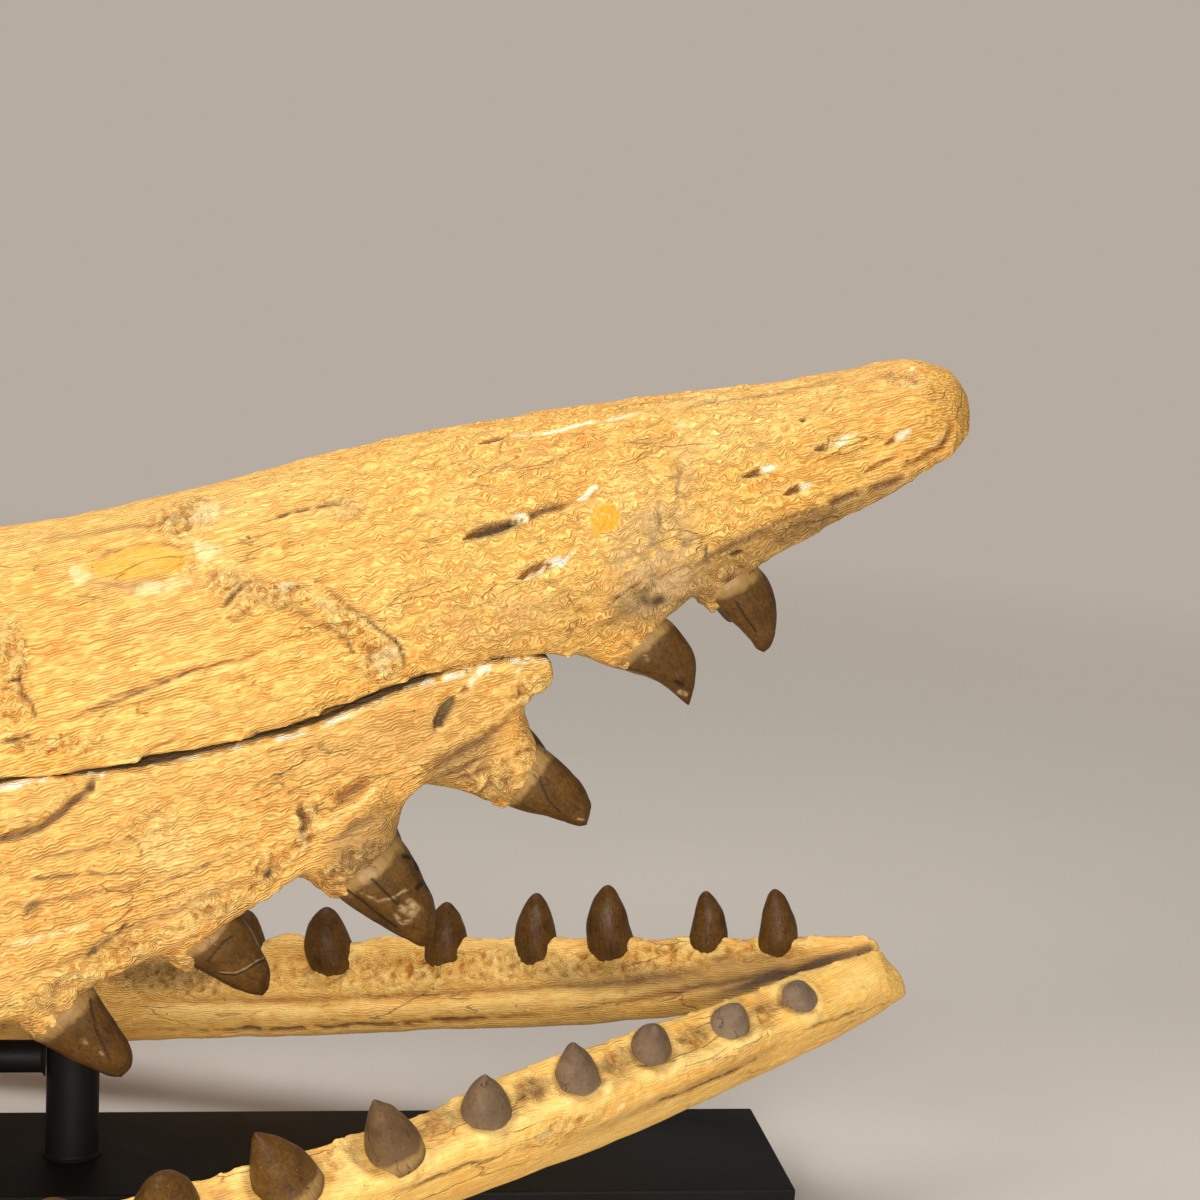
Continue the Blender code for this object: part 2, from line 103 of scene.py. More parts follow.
def lattice(i, j, k, seed):
    """Scattered value between -1 and 1 for each cell of a grid."""
    h = (i * 374761393 + j * 668265263 + k * 1440662683 + seed * 97654321) & 0xFFFFFFFF
    h = ((h ^ (h >> 13)) * 1274126177) & 0xFFFFFFFF
    return (h ^ (h >> 16)) / 2147483647.5 - 1.0


def noise(places, size, seed):
    """Smooth noise between -1 and 1 with cells of this size, which may differ by axis."""
    p = places / size
    whole = np.floor(p).astype(np.int64)
    f = p - whole
    f = f * f * (3.0 - 2.0 * f)
    total = np.zeros(len(p))
    for a in (0, 1):
        for b in (0, 1):
            for c in (0, 1):
                share = np.abs(1 - a - f[:, 0]) * np.abs(1 - b - f[:, 1]) * np.abs(1 - c - f[:, 2])
                total += share * lattice(whole[:, 0] + a, whole[:, 1] + b, whole[:, 2] + c, seed)
    return total


def rough(places, size, layers, seed):
    """Noise in layers, each finer and lower than the last."""
    size = np.asarray(size, float)
    total = 0.0
    for layer in range(layers):
        total = total + noise(places, size * 0.5 ** layer, seed + layer) * 0.55 ** layer
    return total


def ramp(value, low, high):
    """0 at low, 1 at high, smooth between; low may be the larger."""
    t = np.clip((value - low) / (high - low), 0.0, 1.0)
    return t * t * (3.0 - 2.0 * t)


def unit(values):
    return np.clip(values, 0.0, 1.0)


def line_reach(spots, line):
    """Distance of each spot from a line of points, and its share of the way along the line."""
    line = np.array(line, float)
    lengths = np.linalg.norm(np.diff(line, axis=0), axis=1)
    total = lengths.sum()
    best = np.full(len(spots), 1e9)
    share = np.zeros(len(spots))
    run = 0.0
    for start, end, length in zip(line, line[1:], lengths):
        way = (end - start) / length
        t = np.clip((spots - start) @ way, 0.0, length)
        gap = np.linalg.norm(spots - (start + t[:, None] * way), axis=1)
        nearer = gap < best
        best[nearer] = gap[nearer]
        share[nearer] = (run + t[nearer]) / total
        run += length
    return best, share


# Kinds of marks, and the masks that the materials read for each vertex
LINE_KINDS = ("slit", "crack", "groove", "ridge")
FAR_KINDS = ("slit", "groove", "ridge", "crater", "dent", "dot")
# The dark stain mask holds real stains and also painted shade: in grooves, slits and the open crack, under
# the tooth stems, on the snout's lower flank and where one jaw shades the other.
MASKS = ("plaster", "stain", "resin", "pale", "gold", "ash", "swirl", "crust", "aged", "smooth")
# Share by which slits and cracks darken the bone; in a slit it is painted shade in its depth.
DARKNESS = {"slit": 0.62, "crack": 0.75}
NO_PLASTER = 2.0

# Depth across the skull up to which the near side's marks are whole, and where they end
CRANIUM_REACH = (-0.005, 0.030)
CHEEK_REACH = (0.20, 0.30)
FULL_REACH = (0.40, 0.50)

# Grain: slope of the snout and distance between fibres
SKULL_SLOPE = math.radians(19.0)
FIBRE_SPACING = 0.0019

# Search for the outer edge of the open crack: pixels about its line, and metres along the skull
CRACK_REACH = 8.0
CRACK_STEP = 0.012

# Reach of a pit between two lower sockets
PIT_REACH = 0.014

# How many pixels beyond the picture are refined
PICTURE_EDGE = 40.0

# Teeth: rings and sides of plain and of near upper crowns, sides of a stem, and length of a crown's foot
SIDES = ("right", "left")
UPPER_TEETH = 9
LOWER_TEETH = 11
CROWN_STEPS = 30
CROWN_SIDES = 36
NEAR_STEPS = 80
NEAR_SIDES = 96
STEM_SIDES = 24
FOOT = 0.0045

# Stand: radius of the rod on a post, height of the post's shoulder above the beam, and cut ends of the tube
POST_ROD = 0.0080
POST_ABOVE_BEAM = 0.006
CROSS_TUBE_EDGE = 0.0012

# Lights: place, target, size and colour
LIGHTS = {
    "Key": ((-1.6, -1.6, 1.9), (0.15, 0.0, 0.28), 1.2, (1.0, 0.965, 0.915)),
    "Fill": ((0.20, -2.2, 0.80), (0.20, 0.0, 0.22), 1.0, (1.0, 0.975, 0.95)),
    "Top": ((0.3, 0.5, 2.9), (0.3, 0.2, 0.2), 2.0, (1.0, 0.98, 0.96)),
}
SKY_TONE = (1.0, 0.97, 0.93)

# Marks on the bone, in picture coordinates, by kind.
# Lines: points, half width and depth in millimetres, and where given the shares of the length between
# which plaster fills them. Patches: middle across and down, half width, half height, turn in degrees
# and amount, which is a height in millimetres for relief.

CRANIUM_MARKS = {
    "slit": (
        (((464, 538), (482, 531), (500, 526), (520, 520)), 7, 4.6),
        (((518, 579), (532, 571), (546, 565), (562, 560)), 6.5, 4.5),
        (((815, 450), (836, 444), (858, 433)), 5.5, 3, 0.25, 1),
        (((743, 477), (758, 472), (781, 464)), 4.5, 3.6, 0.48, 1),
        (((784, 495), (799, 488), (813, 484)), 4.5, 3.6, 0.58, 1),
        (((886, 444), (899, 437), (914, 428)), 4, 1.4, 0.35, 0.9),
        (((729, 555), (745, 550)), 2.2, 1.6),
        (((478, 443), (491, 440), (505, 437)), 2.6, 2.4),
    ),
    "crack": (
        (((660, 489), (658, 512), (660, 525), (666, 543)), 1.6, 2),
        (((650, 573), (658, 587), (663, 604)), 1.8, 2.4),
        (((683, 464), (677, 490), (678, 509)), 1.6, 0.8),
        (((706, 541), (709, 573)), 1.3, 0.8),
        (((602, 609), (626, 592), (652, 574)), 1.3, 0.9),
        (((260, 524), (292, 512), (324, 505), (346, 503)), 1.8, 1.6),
        (((84, 716), (120, 700), (160, 684), (206, 667)), 1.4, 1.2),
        (((0, 685), (12, 681), (22, 679)), 2.2, 2),
        (((0, 743), (17, 739), (36, 735)), 2.4, 2.4),
        (((18, 660), (20, 693), (31, 703), (40, 727)), 1.8, 1.2),
        (((219, 609), (232, 597), (246, 583)), 2.6, 2.4),
        (((366, 620), (388, 637), (399, 646), (407, 664)), 1, 1),
        (((347, 641), (356, 655)), 1.6, 1.4),
    ),
    "groove": (
        (((508, 523), (534, 514), (556, 507), (582, 497)), 4.6, 2.2),
        (((953, 420), (950, 434), (943, 445), (924, 458), (902, 467)), 3.6, 2.2),
        (((863, 473), (878, 464), (900, 457)), 2.6, 1.8),
        (((829, 505), (844, 498), (861, 490)), 3.4, 2.4),
        (((866, 489), (881, 485), (893, 482), (906, 476)), 3.2, 1.8),
        (((700, 560), (735, 545), (790, 517), (826, 508)), 3.2, 0.9),
        (((505, 437), (550, 432), (576, 426), (594, 422), (640, 413)), 1.5, 0.6, 0.03, 1),
        (((640, 413), (700, 404), (780, 391), (872, 373)), 2.2, 0.6),
        (((53, 727), (82, 714), (113, 698), (153, 683), (206, 666), (240, 661), (262, 651), (279, 645)),
         2.4, 1.3),
        (((147, 752), (166, 743), (184, 732)), 3.4, 1.4),
        (((306, 576), (330, 590), (360, 614), (388, 635), (401, 650), (408, 668)), 2.6, 0.7),
        (((276, 602), (300, 612), (330, 628), (356, 645)), 5, 1.2),
        (((86, 580), (124, 584), (170, 578)), 3, 1),
        (((88, 560), (110, 548), (150, 543), (200, 545)), 2.6, 1.2),
        (((0, 548), (70, 534), (150, 523), (230, 505)), 3, 0.7),
    ),
    "ridge": (
        (((944, 428), (938, 440), (926, 449)), 4, 1.4),
        (((150, 692), (206, 676), (262, 664), (316, 648)), 6, 1.1),
        (((299, 585), (321, 598), (348, 612), (371, 628), (390, 646), (400, 664)), 8, 3),
        (((196, 547), (215, 560), (240, 568), (268, 575), (292, 584)), 7, 1.2),
    ),
    "plaster": (
        (522, 517, 10, 4.5, -16, 2), (590, 493, 12, 3.4, -16, 1.8), (560, 560, 18, 4.4, -20, 2),
        (541, 573, 18, 2.6, -22, 1.5), (207, 552, 14, 12, -30, 0.75), (160, 584, 34, 8, 4, 0.7),
        (80, 572, 12, 11, 10, 0.7), (205, 512, 20, 9, -20, 0.6), (383, 660, 12, 16, 35, 0.6),
        (320, 599, 26, 5, 32, 0.45), (288, 585, 10, 5, -10, 0.9), (680, 426, 6, 6, 0, 0.5),
        (911, 370, 3, 2, 0, 0.9), (913, 390, 4, 2, 30, 0.9),
    ),
    # Stains; the long patches low on the snout are painted shade on its lower flank.
    "stain": (
        (543, 511, 26, 4, -19, 0.45), (500, 530, 34, 7, -19, 0.55), (640, 600, 34, 16, -22, 0.35),
        (676, 470, 9, 14, 20, 0.35), (722, 572, 126, 32, -27, 0.56), (856, 504, 86, 17, -24, 0.52),
        (560, 625, 150, 34, -20, 0.22),
    ),
    "dot": (
        (803, 419, 2.2, 2.2, 0, 3.5), (249, 537, 1.8, 1.5, 0, 2.5), (945, 442, 2.4, 2, 0, 1.2),
    ),
    "resin": (
        (140, 561, 54, 17, -6, 0.72),
    ),
    "dent": (
        (140, 563, 66, 24, 2, 1.8), (640, 560, 46, 60, 0, 1.2), (780, 540, 60, 14, -24, 1),
        (902, 378, 26, 9, 12, 1),
    ),
    "spot": (
        (606, 518, 14.5, 13.5, 0, 1), (597, 531, 4, 8, -8, 1),
    ),
    "drip": (
        (604, 548, 13, 22, -8, 0.5),
    ),
    "crater": (
        (190, 520, 34, 22, -20, 1.5), (186, 566, 12, 12, 0, 1.3), (232, 588, 32, 18, 25, 1.6),
        (270, 596, 30, 14, 20, 1.1), (380, 660, 24, 26, 30, 1.9), (344, 622, 36, 14, 36, 1.4),
        (345, 510, 18, 12, 0, 1.2), (80, 745, 30, 12, -8, 1.3), (14, 700, 20, 45, 0, 1.2),
        (242, 610, 12, 8, 0, 1.6), (900, 378, 27, 10, 12, 0.9), (10, 640, 16, 30, 0, 1),
        (520, 520, 40, 6, -19, 0.8),
    ),
    "pale": (
        (640, 520, 60, 60, 0, 0.55), (690, 440, 40, 26, 0, 0.5), (690, 402, 44, 9, -8, 0.6),
        (220, 515, 50, 18, -12, 0.5), (310, 520, 40, 10, -14, 0.4), (745, 445, 50, 16, -10, 0.6),
    ),
    "gold": (
        (560, 445, 60, 16, -8, 0.8), (110, 640, 90, 34, -8, 0.6), (250, 560, 50, 14, -12, 0.5),
    ),
    # Greyish brown patches, partly the bone's own colour and partly painted shade that darkens the side of
    # the snout.
    "ash": (
        (655, 560, 46, 62, 12, 0.86), (500, 612, 90, 30, -14, 0.24), (240, 712, 120, 16, -8, 0.16),
        (686, 470, 16, 40, 6, 0.3), (900, 378, 32, 11, 12, 0.22), (340, 510, 34, 11, -12, 0.22),
        (200, 515, 44, 15, -15, 0.22), (262, 592, 56, 16, 14, 0.22), (130, 586, 60, 10, 4, 0.4),
        (384, 664, 20, 26, 30, 0.22),
    ),
    "flaky": (
        (180, 514, 36, 16, -20, 1.7), (232, 588, 38, 18, 25, 2), (292, 592, 28, 14, 15, 1.5),
        (345, 622, 34, 16, 38, 1.6), (385, 655, 24, 22, 30, 1.9), (12, 655, 22, 32, 0, 1.5),
        (45, 745, 42, 12, -8, 1.5), (240, 612, 28, 10, -30, 1.5), (655, 570, 16, 44, 10, 0.8),
    ),
}

CHEEK_MARKS = {
    "slit": (
        (((434, 730), (440, 719), (447, 708), (456, 697)), 6, 3.6),
    ),
    "crack": (
        (((297, 795), (302, 804), (299, 814), (306, 822), (303, 833), (312, 846)), 3.4, 4.4),
        (((0, 947), (34, 940), (77, 928), (98, 922)), 2, 2.2, 0.1, 0.9),
        (((82, 963), (88, 955), (107, 943), (122, 929), (134, 915)), 2, 2.2),
        (((0, 878), (40, 878), (90, 874), (158, 872)), 2, 1.6),
        (((150, 890), (190, 872), (226, 856), (262, 842)), 1.4, 1),
        (((120, 830), (138, 842), (142, 862)), 1.3, 0.9),
        (((250, 790), (272, 776), (300, 770)), 1.3, 0.9),
    ),
    "groove": (
        (((336, 803), (350, 791), (370, 778)), 4.5, 2.4),
        (((463, 694), (470, 682), (480, 670)), 3.2, 2.4, 0.35, 1),
        (((428, 774), (461, 755), (491, 735), (513, 717)), 5.5, 2.8),
        (((324, 848), (362, 822), (404, 797)), 6, 1.9),
        (((449, 777), (470, 764), (489, 756)), 2, 1.6),
        (((452, 783), (474, 774), (496, 766)), 2, 1.6),
        (((478, 795), (488, 782), (492, 770)), 2.2, 1.8),
        (((514, 756), (524, 750), (536, 748)), 2.2, 2),
        (((402, 862), (386, 872), (352, 884), (330, 886)), 2.4, 1.6),
        (((90, 777), (89, 789), (78, 800), (60, 814), (40, 827), (17, 836), (-10, 841)), 5.4, 4.2),
        (((20, 862), (80, 850), (150, 836)), 3, 0.8),
        (((0, 905), (60, 900), (120, 888), (170, 872)), 3, 0.8),
        (((0, 985), (60, 965), (130, 930), (200, 900), (262, 872)), 5, 1.1),
    ),
    "ridge": (
        (((400, 772), (449, 744), (486, 722), (526, 700)), 8, 1.8),
        (((318, 832), (352, 808), (392, 780)), 6.5, 1.8),
        (((470, 792), (486, 778), (500, 760)), 3, 1.6),
        (((322, 872), (352, 862), (384, 846), (398, 830)), 5, 1.4),
        (((74, 786), (52, 802), (20, 816), (-10, 824)), 9, 2.4),
        (((312, 800), (316, 820), (322, 842)), 5, 1.6),
        (((0, 1012), (66, 984), (140, 954), (220, 916), (300, 880)), 8, 1.6),
    ),
    "dent": (
        (449, 708, 13, 26, 35, 2.6), (352, 792, 26, 10, -37, 2.6),
    ),
    # Stains; the patches at (462, 762) and (372, 842), under the stems of the third and fourth teeth, are
    # painted shade.
    "stain": (
        (448, 710, 8, 20, 35, 0.35), (349, 793, 18, 7, -37, 0.25), (31, 909, 10, 6, -30, 0.6),
        (462, 762, 52, 22, -33, 0.42), (410, 738, 90, 34, -22, 0.14), (372, 842, 56, 28, -30, 0.5),
    ),
    "flaky": (
        (272, 862, 36, 14, -28, 1.9), (306, 826, 14, 28, 10, 2), (352, 862, 42, 14, -28, 1.5),
        (110, 955, 62, 12, -25, 1.2), (55, 992, 50, 12, -22, 1.2), (484, 778, 32, 16, -20, 1.5),
        (530, 692, 20, 14, -20, 1.3), (436, 812, 18, 24, 40, 1.2), (216, 905, 40, 10, -27, 1.4),
    ),
    "pale": (
        (195, 900, 40, 14, -26, 0.9), (168, 845, 26, 34, 10, 0.9), (170, 850, 40, 40, 0, 0.5),
        (330, 750, 70, 26, -16, 0.4), (120, 985, 90, 16, -24, 0.5),
    ),
    "dot": (
        (267, 874, 5, 3, -28, 2), (92, 787, 4, 5, 0, 2.5), (95, 951, 3, 3, 0, 2.5),
        (440, 722, 5, 6, 25, 2.5),
    ),
    "crater": (
        (30, 910, 12, 9, -30, 1), (270, 876, 20, 9, -28, 1.8), (110, 958, 70, 14, -25, 0.9),
        (60, 990, 60, 12, -22, 1.1), (220, 905, 60, 11, -26, 1), (490, 782, 28, 20, -20, 1.4),
        (525, 690, 22, 16, -20, 1.2), (352, 862, 40, 18, -25, 1.1), (305, 826, 10, 26, 10, 1.5),
        (130, 826, 16, 12, 0, 0.5), (160, 820, 22, 22, 0, 0.4),
    ),
    "plaster": (
        (104, 776, 8, 5, -10, 1), (484, 669, 12, 5, -32, 0.9), (528, 664, 14, 4, -10, 0.7),
        (300, 838, 8, 6, 0, 0.5),
    ),
    "gold": (
        (70, 905, 70, 26, -6, 0.7), (360, 860, 50, 24, -28, 0.8), (500, 730, 30, 26, -30, 0.8),
        (200, 790, 60, 20, -12, 0.4),
    ),
}

FAR_JAW_MARKS = {
    "crack": (
        (((140, 1029), (220, 1031), (296, 1028), (420, 1023), (560, 1014)), 2.4, 2.4),
    ),
    "groove": (
        (((130, 1001), (300, 1000), (460, 992), (600, 984), (700, 972)), 5, 2),
        (((560, 1012), (650, 997), (735, 980), (786, 970), (830, 958)), 4, 2),
    ),
    "ridge": (
        (((130, 1014), (300, 1013), (460, 1006), (600, 998), (700, 985)), 9, 2.2),
    ),
    "crater": (
        (200, 978, 110, 22, 0, 1.4), (380, 975, 90, 24, 0, 1.4), (500, 966, 90, 22, 0, 1.4),
        (640, 960, 90, 20, -4, 1.4), (760, 950, 60, 12, -6, 1.4),
    ),
    "dent": (
        (300, 965, 16, 14, 0, 3), (400, 968, 16, 12, 0, 3), (490, 955, 16, 14, 0, 3),
        (575, 950, 16, 12, 0, 2.6), (660, 948, 18, 12, 0, 2.6), (740, 945, 18, 10, 0, 2.4),
    ),
    # Pale patches; the ones at (500, 950) and along the ridge of the lower lip are pale bone brightened
    # further as painted highlights.
    "pale": (
        (500, 950, 16, 26, 0, 0.8), (240, 1010, 110, 7, 0, 0.8), (330, 960, 34, 20, 0, 0.5),
    ),
    # Stains; the patches at (600, 975) and (730, 972) are a painted shadow cast by the near jaw.
    "stain": (
        (160, 975, 60, 18, 0, 0.5), (600, 975, 70, 18, 0, 0.4), (730, 972, 110, 18, -8, 0.5),
    ),
    "gold": (
        (420, 1015, 200, 12, -2, 0.6),
    ),
}

NEAR_JAW_MARKS = {
    "crack": (
        (((389, 1196), (429, 1180), (468, 1166), (513, 1152)), 1.8, 1.4),
        (((640, 1108), (690, 1092), (738, 1069), (772, 1053)), 1.1, 1),
        (((800, 1030), (836, 1018), (866, 1005)), 1.2, 0.9),
    ),
    "groove": (
        (((560, 1150), (640, 1112), (720, 1074), (800, 1040)), 5, 0.7),
    ),
    "ridge": (
        (((380, 1175), (470, 1140), (560, 1105), (640, 1075), (720, 1052), (800, 1020)), 7, 1.8),
    ),
    "crater": (
        (440, 1120, 24, 20, -20, 1), (532, 1090, 24, 18, -20, 1), (616, 1060, 22, 16, -20, 1),
        (692, 1040, 20, 14, -20, 0.9), (764, 1012, 18, 10, -20, 1.2), (340, 1155, 22, 18, -20, 1),
        (560, 1128, 46, 12, -22, 1),
    ),
    "plaster": (
        (620, 1107, 5, 4, 0, 0.9), (545, 1130, 8, 5, 0, 0.6),
    ),
    "pale": (
        (690, 1062, 60, 9, -24, 0.8), (520, 1120, 50, 12, -22, 0.6), (860, 980, 30, 16, -20, 0.7),
        (352, 1178, 16, 26, 20, 0.7), (430, 1165, 16, 26, 20, 0.6),
    ),
    "stain": (
        (440, 1122, 26, 16, -20, 0.45), (532, 1090, 24, 14, -20, 0.45), (616, 1060, 20, 12, -20, 0.4),
        (700, 1034, 22, 10, -20, 0.4), (770, 1006, 22, 8, -20, 0.35),
    ),
    "gold": (
        (700, 1080, 100, 12, -24, 0.6),
    ),
}

# Open crack over the cheek piece: its middle, and the edge below it where plaster shows
CRACK_LINE = (
    (-20, 785), (0, 784), (102, 767), (158, 757), (240, 740), (300, 726), (397, 684), (443, 673),
    (504, 656),
)
CRACK_LIP = (
    (-20, 790), (0, 787), (33, 781), (73, 773), (103, 770), (141, 761), (166, 761), (176, 757), (207, 752),
    (240, 745), (281, 737), (305, 730), (350, 712), (397, 689), (443, 677), (504, 660), (553, 656),
)

# Lower edge of the lens-shaped splinter on the cheek piece
LENS_EDGE = ((92, 778), (89, 790), (78, 801), (60, 815), (40, 828), (17, 837), (-10, 842))

# Shape corrections on the near side: where the edge is, where it belongs, and how far the pull reaches
CRANIUM_PULLS = (
    ((300, 465), (300, 461), 70), ((420, 442), (420, 436), 80), ((540, 421), (540, 415), 80),
    ((660, 400), (660, 397), 50), ((870, 372), (870, 368), 60), ((930, 385), (938, 373), 52),
    ((690, 604), (689, 598), 14), ((505, 652), (505, 657), 36), ((452, 664), (452, 668), 26),
    ((40, 774), (40, 778), 46), ((110, 760), (110, 762), 30), ((220, 740), (220, 742), 60),
)
CHEEK_PULLS = (
    ((470, 670), (470, 664), 30), ((520, 662), (519, 656), 26), ((548, 672), (551, 670), 16),
    ((30, 788), (30, 782), 46), ((220, 752), (220, 749), 60), ((545, 690), (548, 692), 12),
)
NEAR_JAW_PULLS = (((903, 985), (905, 992), 14), ((904, 966), (894, 970), 20))
FAR_JAW_PULLS = (
    ((292, 946), (292, 935), 26), ((390, 942), (390, 936), 24), ((893, 950), (879, 945), 28),
)

# Upper edge of the near jaw, which moves as a whole: line, shift across and down, and reach
NEAR_JAW_LIFT = (
    (((430, 1122), (520, 1086), (610, 1050), (700, 1014), (760, 997), (820, 976), (884, 964)), -2, -11, 17),
)

# Painted shadow along this line in the picture, where the far jaw goes behind the near one
JAW_SHADOW_LINE = ((640, 1016), (700, 1000), (752, 986), (800, 971), (868, 948))

# Outlines of the six near upper crowns: front edge and rear edge, both from the base to the tip
CROWN_OUTLINES = {
    1: (
        ((757, 566), (766, 577), (772, 590), (775.5, 606), (776, 623), (773.5, 638), (769, 648),
         (764, 652)),
        ((697, 600), (711, 606), (719, 611), (730, 620), (741, 630), (750, 640), (757, 649), (763, 652)),
    ),
    2: (
        ((658, 615), (670, 621), (681, 632), (690, 646), (695, 659), (695.5, 672), (694, 687),
         (689.5, 704)),
        ((614, 668), (629, 672), (643, 675.5), (655, 680), (666, 687), (675, 695), (682.5, 701.5),
         (688, 705)),
    ),
    3: (
        ((541, 746), (551.5, 754), (561, 762), (571, 772), (581, 783), (588, 795), (591, 806), (587, 824)),
        ((511, 807), (522, 810), (533, 813), (546, 816), (559, 820), (572, 824), (580, 826), (586, 825)),
    ),
    4: (
        ((397, 836), (406, 848), (415, 862), (424, 880), (433, 897), (436, 919), (435, 931), (428, 946)),
        ((334, 894), (351, 906), (371, 919), (393, 932), (405, 938), (414, 943.5), (421, 946),
         (427, 946.5)),
    ),
    5: (
        ((241, 915), (252, 931), (260, 947), (267, 962), (270, 975), (269.5, 984), (268, 989), (263, 995)),
        ((165, 953), (178, 958), (193, 965.5), (208, 973), (221, 981), (239, 988.5), (250, 993),
         (262, 995.5)),
    ),
    6: (
        ((90, 985), (101, 999.5), (111, 1015), (120.5, 1030), (128, 1041.6), (132.5, 1053),
         (132, 1064.5), (122, 1076.5)),
        ((36, 1040), (54, 1049), (69, 1057), (84, 1064.5), (99.5, 1071), (107, 1074), (113, 1076),
         (121, 1077)),
    ),
}

# Bone stems of the near upper teeth: front and rear edge of each ring, from inside the jaw to the crown
STEMS = {
    "cranium": {
        1: (((742, 545), (692, 572)), ((752, 560), (698, 590)), ((757, 567), (703, 600))),
        2: (
            ((640, 590), (560, 630)), ((652, 604), (577, 655)), ((656, 611), (596, 665)),
            ((658, 616), (612, 669)),
        ),
    },
    "maxilla_right": {
        3: (
            ((500, 690), (396, 750)), ((523, 702), (412, 782)), ((528, 716), (440, 785)),
            ((534, 733), (472, 795)), ((540, 745), (508, 806)),
        ),
        4: (
            ((390, 765), (285, 850)), ((407, 788), (311, 880)), ((403, 812), (318, 885)),
            ((397, 834), (332, 893)),
        ),
        5: (((230, 898), (146, 932)), ((240, 913), (163, 951))),
        6: (((78, 968), (18, 1018)), ((89, 983), (35, 1038))),
    },
}

# Far lower crowns in the picture: node number, base left, base right, tip, lean of the middle
FAR_CROWNS = {
    1: ((758, 958), (795, 958), (775, 889), 3),
    2: ((687, 958), (723, 958), (706, 891), 4),
    3: ((592, 962), (637, 962), (608, 885), -3),
    4: ((517, 969), (560, 969), (537, 893), -2),
    5: ((424, 969), (468, 969), (447, 902), 0),
    6: ((314, 974), (364, 974), (327, 907), -5),
    7: ((222, 976), (268, 976), (247, 910), -2),
}

# Near lower crowns in the picture: middle of the foot, tip, width, how far the tip leans out, and bloom
NEAR_CROWNS = {
    1: ((799, 1002), (797, 986), 39, 0.016, 0.75),
    2: ((728, 1030), (740, 1005), 46, 0.016, 0.70),
    3: ((651, 1048), (655, 1027), 43, 0.016, 0.50),
    4: ((577, 1079), (573, 1043), 48, 0.014, 0.50),
    5: ((486, 1113), (485, 1075), 54, 0.014, 0.42),
    6: ((393, 1146), (374, 1100), 60, 0.012, 0.18),
    7: ((286, 1182), (255, 1133), 72, 0.012, 0.0),
}

# Splits and chips in the near upper crowns: tooth number, kind, points, half width
CROWN_MARKS = {
    1: (
        ("split", ((736, 602), (745, 617), (756, 632)), 0.9),
        ("chip", ((704, 600), (712, 598), (722, 588), (733, 580)), 2.4),
    ),
    2: (
        ("chip", ((679, 692), (686, 694)), 2.2),
        ("split", ((676, 682), (683, 686)), 2.0),
        ("chip", ((645, 656), (648, 660)), 1.6),
        ("chip", ((613, 668), (630, 672.5), (650, 679), (668, 689)), 1.5),
    ),
    3: (
        ("split", ((540, 780), (548, 800), (560, 812)), 0.9),
        ("chip", ((578, 819), (584, 820)), 1.0),
    ),
    4: (
        ("split", ((372, 880), (384, 892), (398, 904)), 1.4),
        ("chip", ((362, 893), (378, 901), (393, 898), (405, 890)), 1.1),
        ("split", ((345, 889), (362, 901), (380, 916), (396, 928)), 1.2),
        ("chip", ((410, 902), (416, 908), (413, 914), (402, 908)), 3.6),
        ("chip", ((395, 915), (402, 923), (410, 921)), 2.0),
        ("chip", ((363, 878), (372, 874)), 3.5),
        ("split", ((404, 856), (414, 858), (418, 868)), 2.2),
        ("chip", ((413, 858), (415, 865)), 1.2),
        ("split", ((418, 888), (424, 880), (430, 890)), 2.2),
        ("chip", ((426, 884), (430, 892)), 1.2),
    ),
    5: (
        ("chip", ((221, 972), (236, 973), (247, 968), (256, 961), (266, 957)), 0.5),
        ("split", ((221, 974), (236, 975), (247, 970), (257, 963), (267, 959)), 0.7),
        ("chip", ((244, 919), (252, 932), (259, 946)), 0.4),
        ("split", ((208, 961), (222, 944), (232, 936)), 0.9),
    ),
    6: (
        ("chip", ((101, 1052), (102, 1054)), 1.6),
        ("chip", ((83, 1040), (86, 1043)), 1.6),
        ("split", ((90, 1000), (96, 1030), (110, 1060)), 0.9),
    ),
}


# Mesh helpers

def dress(obj, material):
    obj.data.materials.clear()
    obj.data.materials.append(material)


def take_place(mesh, name, material, nodes):
    """Makes the mesh a named piece that rides on the root body in place of CAD nodes."""
    mesh.name = name
    obj = bpy.data.objects.new(name, mesh)
    bpy.context.scene.collection.objects.link(obj)
    obj.data.shade_smooth()
    dress(obj, material)
    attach(obj, "root")
    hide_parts(*nodes)
    return obj


def mesh_of(bm, name):
    mesh = bpy.data.meshes.new(name)
    bm.to_mesh(mesh)
    bm.free()
    return mesh


def numbers(mesh, what):
    """Places or normals of all vertices as rows."""
    values = np.empty(len(mesh.vertices) * 3, np.float32)
    mesh.vertices.foreach_get(what, values)
    return values.reshape(-1, 3).astype(float)


def put_places(mesh, places):
    mesh.vertices.foreach_set("co", places.astype(np.float32).ravel())
    mesh.update()


def store(mesh, name, values):
    """Stores a number or a vector for each vertex, which the materials read."""
    kind, key = ("FLOAT", "value") if values.ndim == 1 else ("FLOAT_VECTOR", "vector")
    mesh.attributes.new(name, kind, "POINT").data.foreach_set(key, values.astype(np.float32).ravel())


def cad_shape(node):
    """Merged bmesh of a CAD node."""
    bm = bmesh.new()
    bm.from_mesh(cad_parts[node].data)
    bmesh.ops.remove_doubles(bm, verts=bm.verts[:], dist=1e-5)
    return bm


